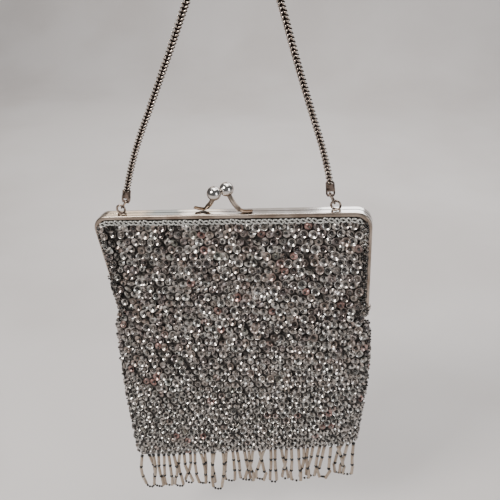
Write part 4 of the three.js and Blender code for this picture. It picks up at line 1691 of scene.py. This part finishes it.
    def beside_arms(self, place: Array, down: Array, angle: Array) -> Array:
        """Lift points near the arms so that what they hold lies over the lip instead of behind it.

        Args:
            place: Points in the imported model's frame.
            down: Their depths.
            angle: Their angles round the section.

        Returns:
            The same points, with those within the arms' reach moved out along y.
        """
        f, s = self.form, self.purse.sizes
        x, y = f.flat(down, angle)
        from_edge = f.half_width(down) - np.abs(x)
        near = (down < f.arm_end + 0.006) & (from_edge < self.arm_reach)
        least = (s.half_depth + self.over_lip) * np.sign(y)
        middle = self.purse.hanging.depth
        lifted = np.where(np.abs(place[:, 1] - middle) < np.abs(least), middle + least, place[:, 1])
        place[:, 1] = np.where(near, lifted, place[:, 1])
        edge = (y < 0) & (from_edge < self.edge_reach) & (down < f.arm_end + 0.004)
        left = np.where(x < 0, np.clip((down - self.left_from) / 0.012, 0, 1), 0)
        right = np.where(x > 0, np.clip((down - self.right_from) / 0.006, 0, 1), 0)
        place[:, 0] += np.where(edge, self.overhang * (right - left), 0)
        return place

    def scatter(self, side: Side) -> tuple[Shape, Shape]:
        """The sequins and their beads on one face.

        Each cup stands on the ground, tilted a little so that its lower rim stands out, and turned by
        chance. Some lie face down, as domes. Low on the pouch they are smaller, paler and tilted more.
        A bead sits in each cup or on each dome.

        Args:
            side: Front or back.

        Returns:
            The sequins and the beads.
        """
        rng = np.random.default_rng(self.random_seed + side.value)
        down, angle = self.spots()
        chosen = np.sin(angle) * side.sign >= (0.0 if side is Side.BACK else -1e-9)
        down, angle = down[chosen], angle[chosen]
        count = len(down)
        down = down + rng.normal(0, self.stray, count)
        across, rise, out = self.form.stand(down, angle)
        most = self.most_lean
        tip = np.clip(rng.normal(self.tip_up, self.lean, count), -most, most)
        low = np.clip((down - self.low_from) / self.low_span, 0, 1)
        tip = (tip + self.low_tip * low)[:, None]
        yaw = np.clip(rng.normal(0, self.lean, count), -most, most)[:, None]
        face = unit(out * np.cos(tip) * np.cos(yaw) + rise * np.sin(tip) + across * np.sin(yaw))
        first = unit(np.cross(rise, face))
        second = np.cross(face, first)
        spin = rng.uniform(0, np.pi / 5, count)[:, None]
        x = first * np.cos(spin) + second * np.sin(spin)
        y = np.cross(face, x)
        place = self.form.point(down, angle, self.inset_at(down, angle))
        place = place + across * rng.normal(0, self.stray, count)[:, None]
        place = self.beside_arms(place, down, angle) + face * self.stand_off
        size = (rng.normal(1.0, self.uneven, count) - self.low_shrink * low)[:, None, None]
        tone = rng.uniform(0, 1, count)
        paler = np.where(tone < self.rosy_from, self.low_pale * low, 0.0)
        tint = {"tint": tone + (self.pale_tint - tone) * paler}
        dome = (rng.uniform(0, 1, count) < self.domes)[:, None]
        up = np.where(dome, -face, face)
        rise_by = np.where(dome, self.cup, 0.0)
        turn = axes(x, np.where(dome, -y, y), up) * size
        cups = self.cup_shape().copies(turn, place + face * rise_by, tint)
        tint = {"tint": rng.uniform(0, 1, count)}
        off = rng.normal(0, self.seed_stray, (count, 2))
        seed_place = place + face * (self.seed_up + 0.8 * rise_by) + x * off[:, :1] + y * off[:, 1:]
        seeds = self.seed_shape(self.seed).copies(axes(x, y, face), seed_place, tint)
        return cups, seeds

    def border(self) -> Shape:
        """Columns of seed beads beside the arms, and loose ones that stand off the side seams below.

        Returns:
            The beads.
        """
        f = self.form
        rng = np.random.default_rng(self.random_seed)
        places, turns = [], []
        down = np.arange(f.mouth + 0.0045, f.arm_end + 0.001, self.border_step)
        for inset in self.arm_insets:
            lean = f.near_edge(down, inset)
            for angle in (lean, -lean, np.pi + lean, np.pi - lean):
                jitter = down + rng.normal(0, 0.00035, len(down))
                across, rise, out = f.stand(jitter, angle)
                place = f.point(jitter, angle, self.inset_at(jitter, angle, 0.0004))
                place = self.beside_arms(place, jitter, angle)
                places.append(place + out * rng.uniform(0, 0.0006, len(down))[:, None])
                turns.append(axes(across, out, rise))
        low = np.arange(f.arm_end - 0.004, f.length - 0.003, self.seam_step)
        for end in (0.0, np.pi):
            for lift in self.seam_lifts:
                angle = end + rng.uniform(-0.4, 0.4, len(low)) ** 3 * 5
                spot = low + rng.normal(0, 0.0006, len(low))
                across, rise, out = f.stand(spot, angle)
                stand_off = (lift + rng.uniform(-0.0006, 0.0008, len(low)))[:, None]
                places.append(f.point(spot, angle, self.inset_at(spot, angle)) + out * stand_off)
                turns.append(axes(across, out, rise))
        left = np.arange(self.left_from + 0.002, f.arm_end + 0.004, self.lip_step)
        for reach in self.lip_reaches:
            angle = np.full_like(left, -np.pi + 0.02)
            place = f.point(left + rng.normal(0, 0.0005, len(left)), angle, (reach - 0.0006, 0.0))
            place[:, 1] = self.purse.hanging.depth - self.purse.sizes.half_depth - self.over_lip
            place[:, 1] -= rng.uniform(0, 0.0009, len(left))
            keep = rng.uniform(0, 1, len(left)) < np.clip((left - self.left_from + 0.002) / 0.016, 0, 1)
            across, rise, out = f.stand(left, angle)
            places.append(place[keep])
            turns.append(axes(across, out, rise)[keep])
        place, turn = np.concatenate(places), np.concatenate(turns)
        tint = {"tint": rng.uniform(0.25, 1, len(place))}
        return self.seed_shape(self.border_seed).copies(turn, place, tint)

    def build(self, ground: Material, foil: Material, jet: Material) -> None:
        """Add the shell, the sequins and the beads.

        Args:
            ground: The crocheted shell's finish.
            foil: The sequins' finish.
            jet: The beads' finish.
        """
        add_piece("pouch_ground", self.ground(), ground, Shading.SMOOTH, ("pouch",))
        for side in (Side.FRONT, Side.BACK):
            cups, seeds = self.scatter(side)
            add_piece(f"sequins_{side.word}", cups, foil, Shading.CREASED)
            add_piece(f"sequin_beads_{side.word}", seeds, jet)
        add_piece("border_beads", self.border(), jet)


@dataclass(frozen=True)
class Edging:
    """A row of chain stitches under each lip, turned down a little at both corners.

    Attributes:
        height: The row's height, and depth its depth.
        stitch: From stitch to stitch.
        thread: The thread's radius.
        loop: Half a loop's length, and loop_lean how far it leans along the row.
        turn_down: How far down the rows reach at the corners.
        roll: How unevenly the loops are turned, and uneven how unevenly they are placed.
    """

    purse: Purse
    form: PouchForm
    height: float = 0.0039
    depth: float = 0.0015
    stitch: float = 0.0037
    thread: float = 0.00056
    loop: float = 0.0013
    loop_lean: float = 0.55
    turn_down: float = 0.026
    roll: float = 0.3
    uneven: float = 0.00028

    def loops(self, side: Side) -> Shape:
        """Chain stitches along the lip: closed loops of thread that lean and lie half on the next one.

        A loop's middle line is (a cos t, b sin t, c sin t), with a across the row, b along it and c
        off the cloth, so that its end passes over the next loop's start.

        Args:
            side: Front or back.

        Returns:
            The loops, with the marks along and around for the thread's twist.
        """
        s = self.purse.sizes
        rng = np.random.default_rng(5)
        outline, outward = s.outline(-self.turn_down)
        inset = s.lip + s.clearance + self.height / 2
        flat = outline - inset * outward
        steps = reached(flat)
        count = int(steps[-1] / self.stitch)
        length = (np.arange(count) + 0.5) / count * steps[-1]
        line = stacked(*(np.interp(length, steps, part) for part in flat.T))
        away = unit(stacked(*(np.interp(length, steps, part) for part in outward.T)))
        _, depth, _ = self.form.section(self.form.share(-line[:, 1]))
        y = side.sign * (self.form.fullness / 2 * depth + s.clearance + self.depth / 2)
        t = 2 * np.pi * np.arange(16) / 16
        across = self.height / 2 - self.thread * 0.8
        along = self.loop * np.sin(t) + self.loop_lean * across * np.cos(t)
        loop = stacked(along, self.depth * 0.36 * np.sin(t), across * np.cos(t))
        shape = tube(loop, self.thread, self.thread, (0.0, 1.0, 0.0), sides=8, ring=True)
        up = stacked(away[:, 0], 0.0, away[:, 1])
        out = np.tile([0.0, float(side.sign), 0.0], (count, 1))
        ahead = np.cross(out, up)
        roll = rng.normal(0, self.roll, count)[:, None]
        first = ahead * np.cos(roll) + up * np.sin(roll)
        place = stacked(line[:, 0], y, line[:, 1]) + up * rng.normal(0, self.uneven, count)[:, None]
        rows = shape.copies(axes(first, out, np.cross(first, out)), place)
        return self.purse.settle(rows, tapered=True)

    def build(self, thread: Material) -> None:
        """Add both rows.

        Args:
            thread: Their finish.
        """
        for side in (Side.FRONT, Side.BACK):
            name = f"edging_{side.word}"
            add_piece(f"{name}_stitches", self.loops(side), thread, Shading.SMOOTH, (name,))


@dataclass
class StrungBeads:
    """The fringe's beads by kind, each as its middle and its direction."""

    bugles: list[tuple[Array, Array]] = field(default_factory=list)
    seeds: list[tuple[Array, Array]] = field(default_factory=list)
    low_seeds: list[tuple[Array, Array]] = field(default_factory=list)


@dataclass(frozen=True)
class BeadFringe:
    """Looped strands under the bottom seam: three bugle beads a side, with seed beads between.

    Attributes:
        loops: How many loops there are.
        length: How far a loop falls, uneven by how much that varies and slope how it grows leftwards.
        bugle: A bugle's length, bugle_radius its radius and bugle_ease how far its ends are eased.
        seed: A seed bead's radius, and low_seed that of the small ones round a loop's bottom.
        low_gap: How far from the last bugle those start, and low_step from one to the next in radii.
        thread: The thread's radius.
        gap_share: How far apart a loop's ends are, as least and most share of the loops' spacing.
        low_half: Half a loop's width at its bottom, least and most.
        crossed: The share of loops whose two sides cross.
        sway: How far loops swing sideways, and swing to the front and back.
        outmost: The share of the seam's half width within which loops start.
        sag: A loop's bottom: shares of its half width, and how far above its lowest point it is there.
    """

    purse: Purse
    form: PouchForm
    loops: int = 20
    length: float = 0.0445
    bugle: float = 0.0106
    bugle_radius: float = 0.00145
    seed: float = 0.00175
    low_seed: float = 0.00115
    thread: float = 0.00022
    gap_share: tuple[float, float] = (0.2, 0.36)
    low_half: tuple[float, float] = (0.0026, 0.0052)
    crossed: float = 0.22
    sway: float = 0.0022
    swing: float = 0.0018
    uneven: float = 0.0013
    slope: float = 0.0018
    outmost: float = 0.993
    sag: tuple[tuple[float, float], ...] = ((-1, 0.0024), (-0.7, 0.0006), (0, 0), (0.7, 0.0006), (1, 0.0024))
    bugle_ease: float = 0.0003
    low_gap: float = 0.0012
    low_step: float = 1.7
    random_seed: int = 23

    def seam(self, across: Array) -> Array:
        """Points under the bottom seam.

        Args:
            across: Shares of its half width, from -1 to 1.

        Returns:
            The points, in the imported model's frame.
        """
        down = np.full_like(across, self.form.length)
        half = self.form.half_width(down)
        return self.form.hang(across * half, 0 * across, down)

    def build(self, glass: Material, jet: Material, thread: Material) -> None:
        """Add the bugles, the seeds and the thread that they are strung on.

        Each loop's line falls from the seam, rounds its bottom as a shallow curve and rises again. Beads
        follow it by length: a seed and a bugle three times over, small seeds round the bottom, and the
        same again upwards.

        Args:
            glass: The bugles' finish.
            jet: The seeds' finish.
            thread: The thread's finish.
        """
        rng = np.random.default_rng(self.random_seed)
        pitch = 2 / self.loops
        beads, threads = StrungBeads(), []
        for k in range(self.loops):
            centre = -1 + pitch * (k + 0.5)
            gap = pitch * rng.uniform(*self.gap_share)
            ends = self.seam(np.clip(np.array([centre - gap, centre + gap]), -self.outmost, self.outmost))
            crossed = rng.uniform() < self.crossed
            sway = rng.normal(0, self.sway, 2)
            depth = rng.normal(0, self.swing, 2)
            fall = self.length + rng.normal(0, self.uneven) - self.slope * centre
            width = rng.uniform(*self.low_half) * (-1 if crossed else 1)
            middle = ends.mean(axis=0) + [sway[0], depth[0], 0]
            low = [middle + [dx * width, 0, -fall + dz] for dx, dz in self.sag]
            bow = [(0, 0, 0.5), (1, 4, -0.5)]
            mids = [ends[i] / 2 + low[j] / 2 + [sway[1] * part, depth[1] * part, 0] for i, j, part in bow]
            path = spline([ends[0], mids[0], *low, mids[1], ends[1]], 420)
            self.string(path, rng, beads)
            threads.append(tube(path[::7], self.thread, self.thread, (0.0, 1.0, 0.0), sides=5))
        r, h, ease = self.bugle_radius, self.bugle / 2, self.bugle_ease
        bugle = turned(np.array([(0.7 * r, -h), (r, -h + ease), (r, h - ease), (0.7 * r, h)]), 8)
        seed = turned(ball_profile(self.seed, 6, 0.86), 8)
        low_seed = turned(ball_profile(self.low_seed, 5, 1.0), 8)
        for name, shape, items, finish in (
            ("fringe_bugles", bugle, beads.bugles, glass),
            ("fringe_seeds", seed, beads.seeds, jet),
            ("fringe_low_seeds", low_seed, beads.low_seeds, jet),
        ):
            place = np.array([item[0] for item in items])
            ahead = unit(np.array([item[1] for item in items]))
            side = unit(np.cross(ahead, [0.0, 1.0, 0.02]))
            turn = axes(side, np.cross(ahead, side), ahead)
            tint = {"tint": rng.uniform(0, 0.7, len(items))}
            stands_for = ("fringe",) if name == "fringe_bugles" else ()
            add_piece(name, shape.copies(turn, place, tint), finish, Shading.CREASED, stands_for)
        add_piece("fringe_thread", join(threads), thread)

    def string(self, path: Array, rng: np.random.Generator, beads: StrungBeads) -> None:
        """String beads on one loop's line.

        Args:
            path: The loop's line.
            rng: The source of chance.
            beads: Where the loop's beads are added.
        """
        steps = reached(path)
        total = steps[-1]

        def at(distance: float) -> Array:
            """The point at a distance along the line."""
            return np.array([np.interp(distance, steps, part) for part in path.T])

        for way in (1, -1):
            along = 0.0004 + rng.uniform(0, 0.0008)
            for _ in range(3):
                for size, items in ((2 * self.seed, beads.seeds), (self.bugle, beads.bugles)):
                    start = along if way > 0 else total - along
                    middle, far = start + way * size / 2, start + way * size
                    items.append((at(middle), at(far) - at(start)))
                    along += size
        first = 3 * (2 * self.seed + self.bugle) + self.low_gap
        count = max(3, int((total - 2 * first) / (self.low_step * self.low_seed)))
        for distance in np.linspace(first, total - first, count):
            beads.low_seeds.append((at(distance), at(distance + 0.0004) - at(distance - 0.0004)))


@dataclass(frozen=True)
class Lamp:
    """One soft rectangular light.

    Attributes:
        name: Its name.
        place: Where it stands.
        aim: What it faces.
        size: Its width and height.
        power: Its watts.
        colour: Its colour.
    """

    name: str
    place: Point
    aim: Point
    size: tuple[float, float]
    power: float
    colour: Colour

    def build(self) -> None:
        """Add the light, turned so that it faces its aim."""
        data = bpy.data.lights.new(self.name, "AREA")
        data.shape = "RECTANGLE"
        data.size, data.size_y = self.size
        data.energy = self.power
        data.color = self.colour
        light = put(self.name, data)
        light.location = self.place
        ahead = Vector(self.aim) - Vector(self.place)
        light.rotation_euler = ahead.to_track_quat("-Z", "Y").to_euler()


@dataclass(frozen=True)
class Studio:
    """Camera, lights, floor and backdrop.

    Attributes:
        eye: The camera's place, worked out from the photo's perspective.
        yaw: The camera's turn from straight at the purse, in radians, below zero where it looks left.
        pitch: How far it looks down.
        roll: How far it is turned about its own view.
        focal: The focal length for a picture one unit wide.
        floor: The floor's height, near and far its ends, and half_span half its width.
        bend: The radius of the bend where the floor turns up, and rise the height of its far edge.
        lamps: The lights.
    """

    eye: Point = (0.0723, -0.3398, -0.0066)
    yaw: float = math.radians(-11.23)
    pitch: float = math.radians(30.1)
    roll: float = math.radians(-0.76)
    focal: float = 565.7 / 500
    sensor: float = 36.0
    floor: float = -0.53
    near: float = -2.4
    far: float = 1.5
    bend: float = 0.6
    rise: float = 2.6
    half_span: float = 3.2
    sky: Colour = (0.82, 0.83, 0.85)
    sky_strength: float = 0.14
    lamps: tuple[Lamp, ...] = (
        Lamp("key", (-0.75, -0.8, 0.7), PURSE_MIDDLE, (0.4, 0.4), 19.0, (1.0, 0.96, 0.915)),
        Lamp("fill", (1.0, -0.7, 0.05), PURSE_MIDDLE, (0.35, 0.6), 5.0, (0.96, 0.98, 1.0)),
        Lamp("top", (0.1, 0.1, 1.1), PURSE_MIDDLE, (0.8, 0.5), 9.0, (1.0, 0.98, 0.95)),
        Lamp("back", (0.46, 1.35, 0.62), (0.0, 0.0, -0.2), (1.4, 0.7), 9.0, (1.0, 1.0, 1.0)),
        Lamp("side", (-0.72, 1.3, 0.62), (0.0, 0.0, -0.2), (0.5, 0.6), 1.7, (1.0, 0.9, 0.78)),
        Lamp("wash", (0.0, 0.7, 1.5), (0.0, 1.9, -0.2), (2.2, 0.8), 33.0, (1.0, 0.98, 0.97)),
    )

    def camera(self) -> None:
        """Add the camera at the photo's place and angle."""
        data = bpy.data.cameras.new("camera")
        data.sensor_width = self.sensor
        data.sensor_fit = "HORIZONTAL"
        data.lens = self.focal * self.sensor
        data.clip_start = 0.01
        level = math.cos(self.pitch)
        ahead = Vector((math.sin(self.yaw) * level, math.cos(self.yaw) * level, -math.sin(self.pitch)))
        right = Vector((math.cos(self.yaw), -math.sin(self.yaw), 0.0))
        up = right.cross(ahead)
        cos, sin = math.cos(self.roll), math.sin(self.roll)
        x, y = right * cos + up * sin, up * cos - right * sin
        turn = Matrix((x, y, -ahead)).transposed().to_4x4()
        camera = put("camera", data)
        camera.matrix_world = Matrix.Translation(Vector(self.eye)) @ turn
        bpy.context.scene.camera = camera

    def backdrop(self, material: Material) -> None:
        """Add the floor and its rise behind as one sheet: level, a quarter circle, then upright.

        Args:
            material: Its finish.
        """
        bend = self.bend
        turn = np.linspace(0, np.pi / 2, 17)
        y = np.concatenate([[self.near], self.far + bend * np.sin(turn), [self.far + bend]])
        z = np.concatenate([[0.0], bend - bend * np.cos(turn), [self.rise]]) + self.floor
        x = np.array([-self.half_span, self.half_span])
        points = stacked(x, y[:, None], z[:, None])
        index = np.arange(2 * len(y)).reshape(-1, 2)
        faces = stacked(index[:-1, 0], index[:-1, 1], index[1:, 1], index[1:, 0])
        mesh = bpy.data.meshes.new("backdrop")
        mesh.from_pydata(points.reshape(-1, 3).tolist(), [], faces.tolist())
        mesh.polygons.foreach_set("use_smooth", np.ones(len(faces), bool))
        mesh.materials.append(material)
        sheet = put("backdrop", mesh)

    def build(self, backdrop: Material) -> None:
        """Add the camera, the backdrop, the lights and a dim sky.

        Args:
            backdrop: The backdrop's finish.
        """
        self.camera()
        self.backdrop(backdrop)
        for lamp in self.lamps:
            lamp.build()
        world = bpy.data.worlds.new("sky")
        world.use_nodes = True
        background = world.node_tree.nodes["Background"]
        background.inputs["Color"].default_value = (*self.sky, 1.0)
        background.inputs["Strength"].default_value = self.sky_strength
        bpy.context.scene.world = world


def main() -> None:
    """Build the studio and every sub-assembly of the purse, in order."""
    logging.basicConfig(level=logging.INFO, format="%(name)s %(message)s")
    purse = Purse()
    form = PouchForm(purse)
    nickel, plate, pewter = PolishedNickel().make(), WornPlate().make(), DarkPewter().make()
    jet, thread = JetBead().make(), SilverThread().make()
    Studio().build(PaleBackdrop().make())
    cap_plate = WornPlate("cap_plate", (0.035, 0.025, 0.02), (0.24, 0.185, 0.155)).make()
    ChainHandle(purse).build(pewter, plate, cap_plate)
    KissLockFrame(purse).build(nickel)
    Clasp(purse).build(PolishedNickel(name="clasp_nickel", edge=(0.22, 0.18, 0.15)).make())
    SequinCloth(purse, form).build(CrochetCloth().make(), SequinFoil().make(), jet)
    Edging(purse, form).build(thread)
    BeadFringe(purse, form).build(ChampagneGlass().make(), jet, thread)


if __name__ == "__main__":
    main()
